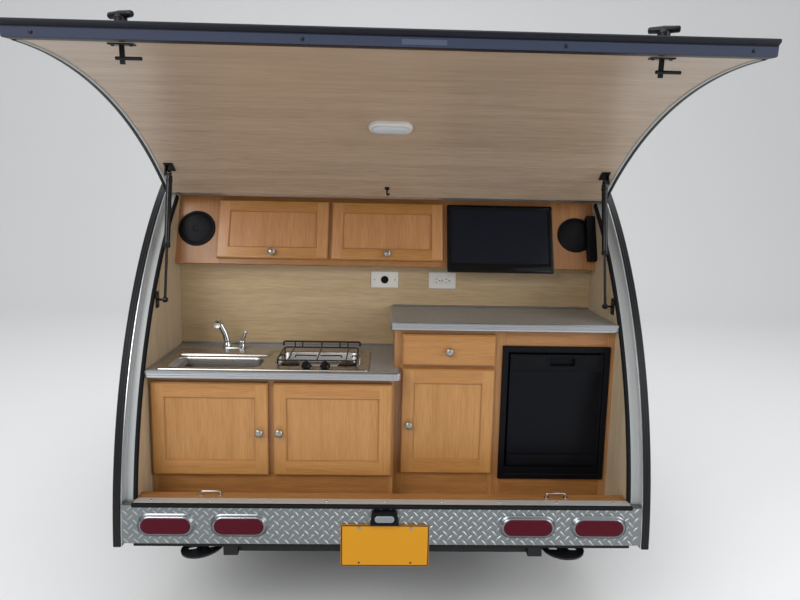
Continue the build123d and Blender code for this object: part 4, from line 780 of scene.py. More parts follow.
# Sink and stove: one pressing of stainless sheet with a rolled rim, a deep basin with its
# strainer, a shallow well with two burners, a raised ledge, and brushed lines along X.
def filled(frame, loops, out, index=0):
    """Flat face at a distance out, between an outline and the holes in it."""
    loops = [np.asarray(loop, dtype=float) for loop in loops]
    sides = mathutils.geometry.tessellate_polygon([[(*p, 0.0) for p in loop] for loop in loops])
    flat_points = np.concatenate(loops)
    points = np.concatenate([flat_points, np.full((len(flat_points), 1), out)], axis=-1)
    return laid(frame, points), sides, index, 0.0


def tube(path, radius, steps=12, index=0):
    """Round bar along a path in mm: rings square to the path, each turned least from the one before."""
    path = np.asarray(path, dtype=float)
    radius = np.broadcast_to(radius, len(path))
    ahead = np.gradient(path, axis=0)
    ahead /= np.linalg.norm(ahead, axis=1, keepdims=True)
    side = np.cross(ahead[0], (0.3, 0.2, 0.93))
    turn = np.linspace(0.0, 2.0 * np.pi, steps, endpoint=False)
    rings = []
    for spot, way, r in zip(path, ahead, radius):
        side = side - way * np.dot(side, way)
        side /= np.linalg.norm(side)
        rings.append(spot + r * (np.cos(turn)[:, None] * side + np.sin(turn)[:, None] * np.cross(way, side)))
    shape = grid(place(np.array(rings)), close_v=True, index=index)
    last = (len(path) - 1) * steps
    return [shape, (shape[0], [range(steps), range(last, last + steps)], index, 0.0)]


def bend(points, radius=8.0, steps=5):
    """Path through corner points, each inner corner rounded by a curve drawn in by a radius."""
    points = np.asarray(points, dtype=float)
    path = [points[0]]
    t = np.linspace(0.0, 1.0, steps)[:, None]
    for before, corner, after in zip(points[:-2], points[1:-1], points[2:]):
        a = corner + radius * (before - corner) / np.linalg.norm(before - corner)
        b = corner + radius * (after - corner) / np.linalg.norm(after - corner)
        path.extend((1 - t) ** 2 * a + 2 * t * (1 - t) * corner + t ** 2 * b)
    return np.array([*path, points[-1]])


stainless, tree, shader = surface("steel_stainless_brushed", "#b7b3ae", 0.26, 1.0)
spot = add(tree, "ShaderNodeTexCoord").outputs["Object"]
drawn = add(tree, "ShaderNodeMapping", {"Vector": spot, "Scale": (12.0, 2400.0, 2400.0)})
lines = add(tree, "ShaderNodeTexNoise", {"Vector": drawn.outputs["Vector"], "Scale": 1.0, "Detail": 2.0})
tone = add(tree, "ShaderNodeMapRange", {"Value": lines.outputs["Fac"], "To Min": 0.2, "To Max": 0.34})
tree.links.new(tone.outputs["Result"], shader.inputs["Roughness"])
enamel, _, _ = surface("steel_enamelled_black", "#101012", 0.22, shine=0.3)
cast_black, tree, shader = surface("steel_wire_enamelled_black", "#161617", 0.35, shine=0.3)
brass, _, _ = surface("alloy_cast_burner", "#8d8a84", 0.42, 1.0)
top_plane = np.array([(0.0, 0.0, low_top), (1.0, 0.0, 0.0), (0.0, 1.0, 0.0), (0.0, 0.0, 1.0)])
sink_x, sink_y = (-828.0, -62.0), (182.0, 500.0)
basin_x, basin_y = (-798.0, -462.0), (213.0, 364.0)
stove_x, stove_y = (-412.0, -100.0), (240.0, 470.0)
ledge_x, ledge_y = (-798.0, -450.0), (382.0, 462.0)
drain = (sum(basin_x) / 2, sum(basin_y) / 2 + 14.0)
turn = np.linspace(0.0, 2.0 * np.pi, 32, endpoint=False)
drain_hole = np.array(drain) + 43.0 * np.stack([np.cos(turn), np.sin(turn)], axis=-1)
deck_out = 4.2
pressing = [
    rimmed(top_plane, sink_x, sink_y, 22.0, [
        (0.0, 0.2), (0.2, 2.2), (-1.0, 4.6), (-3.2, 5.9), (-6.0, 6.0), (-9.0, 5.2), (-12.0, deck_out)]),
    filled(top_plane, [
        rounded(sink_x, sink_y, 22.0, -12.0), rounded(basin_x, basin_y, 42.0, 8.0),
        rounded(stove_x, stove_y, 36.0, 8.0), rounded(ledge_x, ledge_y, 12.0, 6.0)], deck_out),
    rimmed(top_plane, basin_x, basin_y, 42.0, [
        (8.0, deck_out), (4.0, 3.9), (1.5, 2.6), (0.0, -0.5), (-1.2, -5.0), (-3.0, -96.0), (-5.5, -106.0),
        (-12.0, -113.5), (-24.0, -116.0)], steps=14),
    filled(top_plane, [rounded(basin_x, basin_y, 42.0, -24.0, 14), drain_hole], -116.0),
    rimmed(top_plane, stove_x, stove_y, 36.0, [
        (8.0, deck_out), (5.0, 5.4), (2.0, 5.6), (-0.5, 4.0), (-2.5, 0.0), (-5.0, -26.0), (-8.0, -33.0),
        (-14.0, -36.0), (-22.0, -37.0)]),
    filled(top_plane, [rounded(stove_x, stove_y, 36.0, -22.0)], -37.0),
    rimmed(top_plane, ledge_x, ledge_y, 12.0, [
        (6.0, deck_out), (3.0, 5.2), (0.8, 8.5), (-0.8, 12.0), (-3.0, 13.6), (-6.0, 14.0)]),
    filled(top_plane, [rounded(ledge_x, ledge_y, 12.0, -6.0)], 14.0),
    lathe([(-116.0, 43.0), (-117.5, 41.0), (-117.2, 37.0), (-119.2, 34.0), (-119.5, 12.0), (-118.4, 9.0),
    (-117.4, 0.0)],
          (*drain, low_top), (0, 0, 1), 32),
]
burners = []
for x in (stove_x[0] + 49.0, stove_x[1] - 49.0):
    burners.append(lathe([
        (-37.0, 62.0), (-35.6, 60.0), (-35.2, 44.0), (-34.0, 42.0), (-22.0, 41.0), (-20.0, 38.0), (-18.0, 36.0),
    ], (x, 326.0, low_top), (0, 0, 1), 40, 1))
    burners.append(lathe([
        (-19.0, 36.0), (-14.0, 36.5), (-9.0, 36.5), (-8.0, 34.0), (-4.0, 33.0), (-2.5, 30.0), (-2.0, 0.0),
    ], (x, 326.0, low_top), (0, 0, 1), 40, 2))
for x in (-290.0, -222.0):
    burners.append(lathe([
        (0.0, 20.0), (3.0, 20.0), (4.0, 17.0), (14.0, 16.0), (19.0, 14.5), (21.0, 12.0), (21.5, 0.0),
    ], (x, 214.0, low_top + 8.0), (0.0, -0.72, 0.694), 28, 2))
    grip = np.array([(x, 214.0, low_top + 8.0), (1, 0, 0), (0, 0.694, 0.72), (0.0, -0.72, 0.694)])
    burners.append(plank((-2.6, -14.0, 18.0), (2.6, 14.0, 27.0), 1.2, 2, frame=grip))
    burners.append(rimmed(top_plane, (x - 26.0, x + 26.0), (203.0, 232.0), 12.0, [
        (4.0, deck_out), (1.0, 5.0), (-3.0, 9.0), (-6.0, 10.0), (-13.0, 10.4)]))
made = built("sink_pressing", pressing + burners, [stainless, brass, enamel], 32.0, "root", closed=False)
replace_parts(made, "sink_unit")

wires = []
grate_z, back_z = low_top + 24.0, low_top + 47.0
wires += tube(bend([
    (-256.0, 250.0, grate_z), (-403.0, 250.0, grate_z), (-403.0, 466.0, grate_z), (-109.0, 466.0, grate_z),
    (-109.0, 250.0, grate_z), (-256.0, 250.0, grate_z)], 22.0, 7), 2.8)
wires += tube(bend([
    (-407.0, 466.0, grate_z + 6.0), (-407.0, 468.0, back_z), (-104.0, 468.0, back_z),
    (-104.0, 466.0, grate_z + 6.0)], 7.0), 3.6)
for x in (-362.0, -332.0, -256.0, -184.0, -152.0):
    wires += tube([(x, 466.0, grate_z), (x, 468.0, back_z)], 2.4, 8)
for x in (-256.0, -363.0, -149.0):
    if x == -256.0:
        wires += tube([(x, 250.0, grate_z), (x, 466.0, grate_z)], 2.6, 8)
        continue
    for way in ((1, 0), (-1, 0), (0, 1), (0, -1)):
        run = {(1, 0): 100.0, (-1, 0): 40.0, (0, 1): 140.0, (0, -1): 76.0}[way]
        if x == -149.0 and way[0]:
            run = 140.0 - run
        near, far = np.array([x, 326.0]) + 20.0 * np.array(way), np.array([x, 326.0]) + run * np.array(way)
        wires += tube(bend([(*near, grate_z - 7.0), (*near, grate_z + 1.5), (*far, grate_z)], 4.0), 2.4, 8)
for x, y in ((-400.0, 262.0), (-112.0, 262.0), (-400.0, 452.0), (-112.0, 452.0)):
    wires += tube([(x, y, grate_z), (x, y, low_top + 5.0)], 2.6, 8)
built("stove_grate", wires, [cast_black], 40.0, "root")

# Faucet: brass under bright chrome, two hubs on one base, a swan spout with its aerator and
# a lever with a rounded end.
base_plane = np.vstack([(0.0, 530.0, low_top), top_plane[1:]])
swell = [(0.0, 0.1), (0.0, 6.0), (-1.5, 9.0), (-5.0, 11.0), (-12.0, 12.0)]
chromed = [
    rimmed(base_plane, (-665.0, -569.0), (-22.0, 22.0), 22.0, swell, steps=12),
    filled(base_plane, [rounded((-665.0, -569.0), (-22.0, 22.0), 22.0, -12.0, 12)], 12.0),
    lathe([(10.0, 17.0), (15.0, 16.0), (24.0, 13.0), (27.0, 12.0), (33.0, 12.0), (36.0, 9.0), (36.5, 0.0)],
          (-645.0, 530.0, low_top), (0, 0, 1), 32),
    lathe([(10.0, 16.0), (17.0, 15.0), (22.0, 13.0), (28.0, 14.0), (33.0, 12.0), (35.0, 8.0), (35.5, 0.0)],
          (-586.0, 530.0, low_top), (0, 0, 1), 32),
    lathe([(-6.0, 0.0), (-5.0, 8.0), (-1.0, 12.5), (4.0, 13.5), (20.0, 13.0), (24.0, 11.5), (24.0, 8.5),
    (21.0, 0.0)],
          (-678.0, 521.0, low_top + 108.0), (0, -0.94, -0.34), 28),
]
chromed += tube(bend([
    (-645.0, 530.0, low_top + 30.0), (-652.0, 530.0, low_top + 60.0), (-676.0, 530.0, low_top + 108.0),
    (-678.0, 516.0, low_top + 109.0)], 14.0, 7), 12.0, 20)
lever = bend([(-586.0, 530.0, low_top + 30.0), (-580.0, 530.0, low_top + 42.0),
    (-571.0, 526.0, low_top + 66.0)], 6.0)
chromed += tube(lever, np.linspace(9.0, 6.5, len(lever)), 16)
chromed.append(lathe([(-9.0, 0.0), (-7.0, 5.5), (-3.0, 8.2), (3.0, 8.2), (7.0, 5.5), (9.0, 0.0)],
                     (-570.5, 526.0, low_top + 67.0), (0.35, -0.15, 0.92), 20))
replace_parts(built("faucet_chromed", chromed, [nut_chrome], 35.0, "root"), "faucet")

# Fridge: a black steel cabinet with a moulded flange on the face frame, and a door with a
# control band above its main panel and a pocket handle let into the band.
dark_plastic, tree, shader = surface("plastic_moulded_black", "#08090d", 0.45, shine=0.15)
spot = add(tree, "ShaderNodeTexCoord").outputs["Object"]
grain = add(tree, "ShaderNodeTexNoise", {"Vector": spot, "Scale": 1400.0, "Detail": 2.0})
bumped(tree, shader, grain.outputs["Fac"], 0.03)
coated_black, tree, shader = surface("steel_coated_black", "#04060e", 0.34, shine=0.15)
spot = add(tree, "ShaderNodeTexCoord").outputs["Object"]
grain = add(tree, "ShaderNodeTexVoronoi", {"Vector": spot, "Scale": 600.0})
bumped(tree, shader, grain.outputs["Distance"], 0.025)
coat(dark_plastic, "fridge")
flange_plane = np.array([(0.0, 275.0, 0.0), *plumb])
flange = [
    rimmed(flange_plane, fridge_x, fridge_z, 5.0, [
        (0.0, 0.1), (0.0, 2.0), (-1.5, 3.4), (-5.0, 4.0), (-20.0, 4.0), (-21.5, 3.0), (-22.0, 0.1)], True),
]
built("fridge_flange", flange, [dark_plastic], 30.0, "root")
fridge_plane = np.array([(0.0, 309.0, 0.0), *plumb])
door_x, door_z = (462.0, 815.0), (178.0, 615.0)
pocket_x, pocket_z = (613.0, 705.0), (572.0, 600.0)
door = [
    rimmed(fridge_plane, door_x, door_z, 6.0, [(-1.0, 0.0), (0.0, 1.0), (0.0, 38.0), (-1.0, 40.6),
    (-3.4, 42.0)]),
    filled(fridge_plane, [rounded(door_x, door_z, 6.0, -3.4), rounded(pocket_x, pocket_z, 4.0)], 42.0),
    rimmed(fridge_plane, pocket_x, pocket_z, 4.0, [(0.0, 42.0), (-0.8, 41.0), (-1.6, 25.0)], index=1),
    filled(fridge_plane, [rounded(pocket_x, pocket_z, 4.0, -1.6)], 25.0, 1),
    filled(fridge_plane, [rounded(door_x, door_z, 6.0, -1.0)], 0.0),
]
for across, up, index in (
    ((468.0, 595.0), (563.0, 610.0), 1), ((723.0, 809.0), (563.0, 610.0), 1),
    ((470.0, 807.0), (226.0, 553.0), 0),
    ((470.0, 807.0), (184.0, 220.0), 1),
):
    door.append(rimmed(fridge_plane, across, up, 4.0, [(0.0, 41.9), (-0.6, 42.8), (-2.0, 43.2)], index=index))
    door.append(filled(fridge_plane, [rounded(across, up, 4.0, -2.0)], 43.2, index))
door.append(rimmed(fridge_plane, pocket_x, pocket_z, 4.0,
    [(5.0, 42.0), (4.6, 43.4), (1.4, 43.4), (0.6, 42.0)], index=1))
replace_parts(built("fridge_door_panel", door, [coated_black, dark_plastic], 30.0, "fridge_door",
    closed=False), "fridge_door")

# Television: a flat panel in a glossy moulded bezel, deeper below the screen, on its wall
# plate; the panel is dark glass, so it shows only what it mirrors.
gloss_black, _, _ = surface("plastic_polished_black", "#07080b", 0.14, shine=0.25)
panel_glass, _, shader = surface("glass_display_dark", "#0a1320", 0.18, shine=0.3)
screen_x, screen_s, set_x, set_s = (262.0, 659.0), (12.0, 243.0), (243.0, 678.0), (-24.0, 262.0)
television = [
    rimmed(front, set_x, set_s, 6.0, [(-14.0, 4.2), (-3.0, 8.0), (0.0, 12.0), (0.0, 20.0), (-1.2, 22.8),
    (-4.0, 24.0)]),
    filled(front, [rounded(set_x, set_s, 6.0, -4.0), rounded(screen_x, screen_s, 2.0)], 24.0),
    rimmed(front, screen_x, screen_s, 2.0, [(0.0, 24.0), (-0.8, 23.6), (-1.4, 22.4)]),
    filled(front, [rounded(screen_x, screen_s, 2.0, -1.4)], 22.4, 1),
    filled(front, [rounded(set_x, set_s, 6.0, -14.0)], 4.2),
    plank((360.5, 109.0, 0.5), (560.5, 209.0, 4.3), 1.0, frame=front),
]
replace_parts(built("television_panel", television, [gloss_black, panel_glass], 30.0, "root"), "television")

# Speakers: moulded rings holding domed grilles of perforated steel.
perforated, tree, shader = surface("steel_perforated_black", "#0f1014", 0.5, shine=0.15)
spot = add(tree, "ShaderNodeTexCoord").outputs["Object"]
apart = add(tree, "ShaderNodeSeparateXYZ", {"Vector": spot})
waves = []
for side in ("X", "Z"):
    fast = add(tree, "ShaderNodeMath", {0: apart.outputs[side], 1: 1250.0}, operation="MULTIPLY")
    waves.append(add(tree, "ShaderNodeMath", {0: fast.outputs["Value"]}, operation="SINE"))
both = add(tree, "ShaderNodeMath", {0: waves[0].outputs["Value"], 1: waves[1].outputs["Value"]},
    operation="MULTIPLY")
hole = add(tree, "ShaderNodeMath", {0: both.outputs["Value"], 1: 0.15}, operation="GREATER_THAN")
mixed = add(tree, "ShaderNodeMix", {
    "Factor": hole.outputs["Value"], 6: linear("#15171c"), 7: linear("#020203")}, data_type="RGBA")
tree.links.new(mixed.outputs[2], shader.inputs["Base Color"])
grilles = []
for x in (-777.6, 777.6):
    start = front[0] + np.array((x, 146.0, 0.0)) @ front[1:]
    grilles.append(lathe([
        (0.3, 74.0), (3.5, 74.0), (5.5, 72.6), (6.3, 70.0), (6.0, 66.5), (4.4, 65.5)], start, front[3], 72, 0))
    grilles.append(lathe([
        (4.4, 65.5), (6.6, 62.0), (8.4, 54.0), (9.6, 40.0), (10.1, 20.0), (10.2, 12.0), (9.4, 10.5),
        (10.2, 0.0)],
        start, front[3], 72, 1))
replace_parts(built("speaker_grilles", grilles, [dark_plastic, perforated], 30.0, "root", closed=False),
    "speakers")

# Back wall and side wall fittings: two outlet plates and a slim black holder.
white_plastic, _, _ = surface("plastic_moulded_white", "#d6d3cd", 0.35)
back_plane = np.array([(0.0, 628.0, 0.0), *plumb])
plates = []
for across in ((-66.0, 48.0), (175.0, 289.0)):
    plates.append(rimmed(back_plane, across, (807.0, 877.0), 4.0,
        [(0.0, 0.1), (0.0, 2.0), (-1.0, 4.2), (-4.0, 5.6)]))
    plates.append(filled(back_plane, [rounded(across, (807.0, 877.0), 4.0, -4.0)], 5.6))
    for x in (across[0] + 14.0, across[1] - 14.0) if across[0] < 0 else (sum(across) / 2,):
        plates.append(lathe([(5.5, 3.4), (6.5, 3.0), (6.9, 0.0)], (x, 628.0, 842.0), (0, -1, 0), 16, 2))
plates.append(lathe([(5.5, 16.0), (8.0, 15.5), (8.6, 13.0), (7.0, 11.5), (6.0, 0.0)], (-9.0, 628.0, 842.0),
    (0, -1, 0), 32, 1))
for x in (212.0, 252.0):
    plates.append(rimmed(back_plane, (x - 17.0, x + 17.0), (825.0, 859.0), 12.0,
        [(0.0, 5.5), (-0.6, 7.2), (-1.6, 7.6)]))
    plates.append(filled(back_plane, [rounded((x - 17.0, x + 17.0), (825.0, 859.0), 12.0, -1.6)], 7.6))
    for spot_x, spot_z, w, h in ((x - 4.0, 848.5, 9.0, 2.6), (x - 4.0, 835.5, 7.0, 2.6),
        (x + 9.0, 842.0, 5.0, 5.0)):
        plates.append(plank((spot_x - w / 2, spot_z - h / 2, 7.0), (spot_x + w / 2, spot_z + h / 2, 7.8),
            0.3, 1, frame=back_plane))
built("outlet_plates", plates, [white_plastic, dark_plastic, nickel], 30.0, "root", closed=False)

holder_plane = front.copy()
holder_plane[0] += 12.0 * front[3]
holder_x, holder_s = (817.0, 855.2), (30.0, 222.0)
holder = [
    rimmed(holder_plane, holder_x, holder_s, 5.0, [(0.0, 0.0), (0.0, 17.0), (-1.0, 19.5), (-3.5, 21.0)]),
    filled(holder_plane, [rounded(holder_x, holder_s, 5.0, -3.5)], 21.0),
    filled(holder_plane, [rounded(holder_x, holder_s, 5.0)], 0.0),
]
built("wall_holder", holder, [dark_plastic], 30.0, "root")

# Hatch: birch ply bent to the roof's line with the same sheet over it; its side edges are
# bound by a black moulding, with a pale painted strip inside it where it meets the seal.
hinge_line = outline([hinge_heading], -8.0)[0][0]


def swing(y_z):
    """Points of the shut hatch, turned up about its hinge to where the hatch stands open."""
    turn = math.radians(-hatch_open)
    rotation = np.array([[math.cos(turn), math.sin(turn)], [-math.sin(turn), math.cos(turn)]])
    return hinge_line + (np.asarray(y_z) - hinge_line) @ rotation


def hatch_frame(heading, inset):
    """Frame on the open hatch at a heading: across, up the skin, and away from its underside."""
    spot, normal = outline([heading], inset)
    turned = swing(spot)[0]
    outward = swing(spot + normal)[0] - turned
    return np.array([(0.0, *turned), (1.0, 0.0, 0.0), (0.0, outward[1], -outward[0]), (0.0, *-outward)])


hatch_half, bar_low = 888.4, foot_heading(0.0, 153.0)
bar_high = bar_low + math.degrees(46.0 / arcs[0][0])
skin_run = np.linspace(bar_high, hinge_heading - 0.25, 64)
birch_hatch = timber("birch_ply_hatch", "#baa58f", "#a18b75", 0, stretch=(1.2, 26.0))
ply = [(-hatch_half + 2, -26.0), (hatch_half - 2, -26.0), (hatch_half - 2, -0.9), (-hatch_half + 2, -0.9)]
skin = [(-hatch_half, -0.8), (hatch_half, -0.8), (hatch_half, 0.0), (-hatch_half, 0.0)]
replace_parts(built("hatch_ply", strip(ply, skin_run, 0.0, swing=swing), [birch_hatch], 30.0, "hatch"),
    "hatch_panel")
built("hatch_skin", strip(skin, skin_run, 0.0, swing=swing), [sheet], 30.0, "hatch")
for hand, sign in (("left", -1.0), ("right", 1.0)):
    capping = [(877.0, -26.3), (878.0, -28.4), (884.0, -29.2), (890.2, -26.4), (890.6, -22.0), (889.4, -20.0),
               (890.6, -18.0), (890.6, -3.0), (889.6, 1.6), (884.0, 2.0), (876.0, 1.4), (875.6, 0.1),
               (888.5, 0.1),
               (888.5, -26.3)]
    pale = [(868.0, -26.2), (876.6, -26.2), (876.6, -28.2), (868.6, -28.2)]
    built(f"hatch_binding_{hand}", strip(mirrored(capping, sign), skin_run, 0.0, swing=swing), [vinyl],
        50.0, "hatch")
    built(f"hatch_edge_strip_{hand}", strip(mirrored(pale, sign), skin_run, 0.0, swing=swing), [jamb_paint],
        30.0, "hatch")

# Hatch bar: an aluminium extrusion along the free edge, a blue-black lip over a band painted
# slate, with cross-head screws in its face and a blank plate at the middle.
blue_paint, tree, shader = surface("aluminium_painted_blue_black", "#12141f", 0.38, shine=0.3)
slate_paint, tree, shader = surface("aluminium_painted_slate", "#343b4e", 0.45, shine=0.25)
plate_metal, _, _ = surface("aluminium_plate_blank", "#515a70", 0.4, 0.4)
bar_plane = hatch_frame(bar_low, 0.0)
bar = [(45.7, -4.0), (44.0, -9.0), (38.0, -13.0), (10.0, -14.0), (-5.5, -13.0), (-8.5, -9.5), (-8.5, -5.5),
    (-5.0, -2.5),
       (0.2, 2.0), (0.0, 8.0), (0.6, 9.0), (0.6, 12.0), (0.0, 13.0), (0.0, 20.0), (1.6, 25.0), (5.0, 27.0),
       (45.7, 27.0)]
bar_points = np.array([[(x, a, c) for a, c in bar] for x in (-hatch_half, hatch_half)])
bar_shapes = [
    grid(laid(bar_plane, bar_points), close_v=True),
    (laid(bar_plane, bar_points).reshape(-1, 3), [range(len(bar)), range(len(bar), 2 * len(bar))], 0, 0.0),
    plank((-hatch_half, -1.4, 4.5), (hatch_half, 0.8, 26.0), 0.6, 1, frame=bar_plane),
    plank((14.0, -2.2, 9.0), (118.0, -1.2, 21.0), 0.3, 2, frame=bar_plane),
]
for x in (-820.0, -212.0, 392.0, 830.0):
    start = bar_plane[0] + np.array((x, -1.2, 15.0)) @ bar_plane[1:]
    bar_shapes.append(lathe([(-0.4, 5.0), (1.2, 4.6), (2.0, 3.0), (2.2, 0.0)], start, -bar_plane[2], 20))
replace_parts(built("hatch_bar_extrusion", bar_shapes, [blue_paint, slate_paint, plate_metal], 32.0, "hatch"),
            "hatch_bar")

# Hatch light: an oval white moulding with a ribbed frosted lens.
lens_frosted, tree, shader = surface("acrylic_frosted", "#c3c9cd", 0.3)
light_plane = hatch_frame(34.4, 26.7)
oval = ((-75.0, 75.0), (-37.5, 37.5))
light = [
    rimmed(light_plane, *oval, 37.5, [(0.0, 0.0), (0.0, 7.0), (-1.6, 11.0), (-5.0, 13.6), (-10.0, 14.0),
    (-13.0, 12.6)]),
    rimmed(light_plane, *oval, 37.5, [(-13.0, 12.6), (-13.6, 16.0), (-17.0, 19.0), (-24.0, 21.0),
    (-31.0, 21.8)], index=1),
    filled(light_plane, [rounded(*oval, 37.5, -31.0)], 21.8, 1),
    filled(light_plane, [rounded(*oval, 37.5)], 0.0),
]
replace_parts(built("hatch_light_oval", light, [white_plastic, lens_frosted], 35.0, "hatch"), "hatch_light")

# Latches, hinge and struts: black-coated steel fittings, a bright extruded hinge curled
# round its bead, and gas struts with a painted tube and a ground, nitrided rod.
fitting_black, tree, shader = surface("steel_coated_satin_black", "#0c0d10", 0.36, shine=0.3)
strut_paint, _, _ = surface("steel_painted_gloss_black", "#0b0c0e", 0.24, shine=0.35)
rod_nitrided, _, _ = surface("steel_nitrided_black", "#15161a", 0.24, 0.6)
hinge_metal, _, _ = surface("aluminium_anodised_grey", "#8d929c", 0.34, 0.9)
coat(fitting_black, "hatch_studs", "strut_studs")
coat(strut_paint, "strut_tube_left", "strut_tube_right")
coat(rod_nitrided, "strut_rod_left", "strut_rod_right")
coat(hinge_metal, "hinge_socket", "hinge_bead")
strut_x, head, foot = 826.0, swing((523.0, 1044.0)), np.array((330.0, 790.0))
run = (foot - head) / np.linalg.norm(foot - head)
for hand, sign in (("left", -1.0), ("right", 1.0)):
    top = np.array((sign * strut_x, *head))
    way = np.array((0.0, *run))
    collar = [
        lathe([(262.0, 11.3), (263.0, 12.6), (277.0, 12.6), (280.0, 11.0), (281.0, 6.4), (281.0, 5.2)], top,
        way, 32),
        lathe([(22.0, 11.2), (23.0, 12.4), (31.0, 12.4), (32.0, 11.2)], top, way, 32),
    ]
    built(f"strut_collars_{hand}", collar, [fitting_black], 35.0, f"strut_tube_{hand}", closed=False)
    bolts = []
    for y, z in ((330.0, 766.0), (330.0, 814.0)):
        bolts.append(lathe([(3.0, 5.0), (5.6, 4.6), (6.4, 2.4), (6.6, 0.0)],
                           (sign * 856.0, y, z), (-sign, 0.0, 0.0), 16))
    bolts.append(lathe([(0.0, 7.0), (2.0, 7.6), (4.0, 6.0), (4.6, 0.0)],
                       (sign * (strut_x - 6.6), 330.0, 790.0), (-sign, 0.0, 0.0), 20))
    built(f"strut_stud_bolts_{hand}", bolts, [fitting_black], 35.0, "root", closed=False)
latches = []
latch_plane, handle_plane = hatch_frame(bar_high + 0.4, 26.3), hatch_frame(bar_high + 0.95, 0.0)
arm = [(-37.0, 3.5), (-36.0, 6.5), (-33.0, 8.2), (-22.0, 8.6), (-9.0, 9.2), (0.0, 10.0)]
arm = np.array(arm + [(-a, r) for a, r in arm[-2::-1]])
for x in (-645.0, 645.0):
    latches.append(plank((x - 30.0, 0.0, 0.0), (x + 30.0, 25.0, 3.0), 0.8, frame=latch_plane))
    latches.append(plank((x - 6.0, 9.5, 2.8), (x + 6.0, 15.5, 46.0), 0.8, frame=latch_plane))
    pull = np.array([(x - 15.0, 8.0, 33.0), (x - 14.0, 8.0, 33.0), (x + 47.0, 8.0, 33.0),
        (x + 48.0, 8.0, 33.0)])
    latches += tube(latch_plane[0] + pull @ latch_plane[1:], (3.2, 4.4, 4.4, 3.2), 16)
    for dx in (-22.0, 22.0):
        start = latch_plane[0] + np.array((x + dx, 12.5, 3.0)) @ latch_plane[1:]
        latches.append(lathe([(-0.2, 4.6), (1.6, 4.2), (2.4, 2.6), (2.6, 0.0)], start, latch_plane[3], 18))
    stem = handle_plane[0] + np.array((x, 0.0, 0.0)) @ handle_plane[1:]
    latches.append(lathe([(-0.5, 0.0), (-0.5, 22.0), (3.0, 22.0), (4.5, 19.5), (9.0, 17.5), (24.0, 15.0),
        (33.0, 15.5), (40.0, 10.0), (40.0, 0.0)],
                         stem, -handle_plane[3], 28))
    bar_line = np.stack([x + 0.9 * arm[:, 0], -0.44 * arm[:, 0], np.full(len(arm), -39.0)], axis=-1)
    latches += tube(handle_plane[0] + bar_line @ handle_plane[1:], arm[:, 1], 18)
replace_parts(built("hatch_latch_handles", latches, [fitting_black], 35.0, "hatch"), "hatch_latches")

# Coat hook: a cast black hook screwed to the hatch's ply just below the hinge.
hook_plane = hatch_frame(49.5, 26.0)
hook = [plank((-15.0, -9.0, 0.0), (3.0, 9.0, 3.0), 1.0, frame=hook_plane)]
hook_path = np.array([(-6.0, 0.0, 2.0), (-6.0, 0.0, 14.0), (-6.0, -3.0, 32.0), (-2.0, -9.0, 42.0),
    (4.0, -11.0, 34.0)])
hook += tube(hook_plane[0] + bend(hook_path, 5.0) @ hook_plane[1:], 3.4, 12)
built("coat_hook", hook, [fitting_black], 35.0, "hatch")

# Bumper: a folded plate of bright aluminium tread sheet, its lugs raised 1.5 mm in rows that
# lean left and right in turn.
tread_metal, tree, shader = surface("aluminium_tread_ground", "#868c8e", 0.42, 1.0)
spot = add(tree, "ShaderNodeTexCoord").outputs["Object"]
rub = add(tree, "ShaderNodeTexNoise", {"Vector": spot, "Scale": 45.0, "Detail": 6.0, "Roughness": 0.7})
tone = add(tree, "ShaderNodeMapRange", {"Value": rub.outputs["Fac"], "To Min": 0.34, "To Max": 0.54})
tree.links.new(tone.outputs["Result"], shader.inputs["Roughness"])
# The lugs are a paler, smoother metal than the sheet: partly their worn tops, partly painted highlight.
lug_metal, _, _ = surface("aluminium_tread_worn_and_highlit", "#b3b8b9", 0.3, 1.0)
coat(tread_metal, "bumper")
bumper_half = 891.0
column, row = (index.ravel() for index in np.meshgrid(np.arange(52), np.arange(8), indexing="ij"))
lug_x = -bumper_half + 12.0 + 34.0 * column + 17.0 * (row % 2)
lug_z = 9.0 + 17.0 * row
lean_way = np.where(row % 2, 1.0, -1.0) * np.sqrt(0.5)
# A lug is 25 by 6 mm, its height falling to nothing at the rim: h = 1.5 (1 - u^4)(1 - v^4).
u, v = np.meshgrid(np.linspace(-1.0, 1.0, 6), np.linspace(-1.0, 1.0, 5), indexing="ij")
long, wide = 12.4 * u, 3.0 * v * np.sqrt(1.0 - 0.9 * u ** 2)
height = 1.5 * (1.0 - u ** 4) * (1.0 - v ** 4) + 0.02
x = lug_x[:, None, None] + lean_way[:, None, None] * long - np.sqrt(0.5) * wide
z = lug_z[:, None, None] + np.sqrt(0.5) * long + lean_way[:, None, None] * wide
lugs = np.stack([x, np.broadcast_to(-height, x.shape), z], axis=-1)
cells = grid(lugs[0])[1]
starts = (np.arange(len(lugs)) * u.size)[:, None, None]
built("bumper_lugs", [(place(lugs).reshape(-1, 3), (cells[None] + starts).reshape(-1, 4), 0, 0.0)],
      [lug_metal], 60.0, "root", closed=False)

# Tail lamps: red acrylic lenses moulded with prisms, in rounded bezels of chromed plastic.
bezel_plated, _, _ = surface("plastic_chrome_plated", "#85898d", 0.26, 1.0)
lens_red, tree, shader = surface("acrylic_moulded_red", "#4c0619", 0.3, shine=0.15)
spot = add(tree, "ShaderNodeTexCoord").outputs["Object"]
apart = add(tree, "ShaderNodeSeparateXYZ", {"Vector": spot})
prisms = []
for side in ("X", "Z"):
    fast = add(tree, "ShaderNodeMath", {0: apart.outputs[side], 1: 1400.0}, operation="MULTIPLY")
    prisms.append(add(tree, "ShaderNodeMath", {0: fast.outputs["Value"]}, operation="SINE"))
both = add(tree, "ShaderNodeMath", {0: prisms[0].outputs["Value"], 1: prisms[1].outputs["Value"]},
    operation="MULTIPLY")
bumped(tree, shader, both.outputs["Value"], 0.2)
rear_plane = np.array([(0.0, 0.0, 0.0), *plumb])
lamps = []
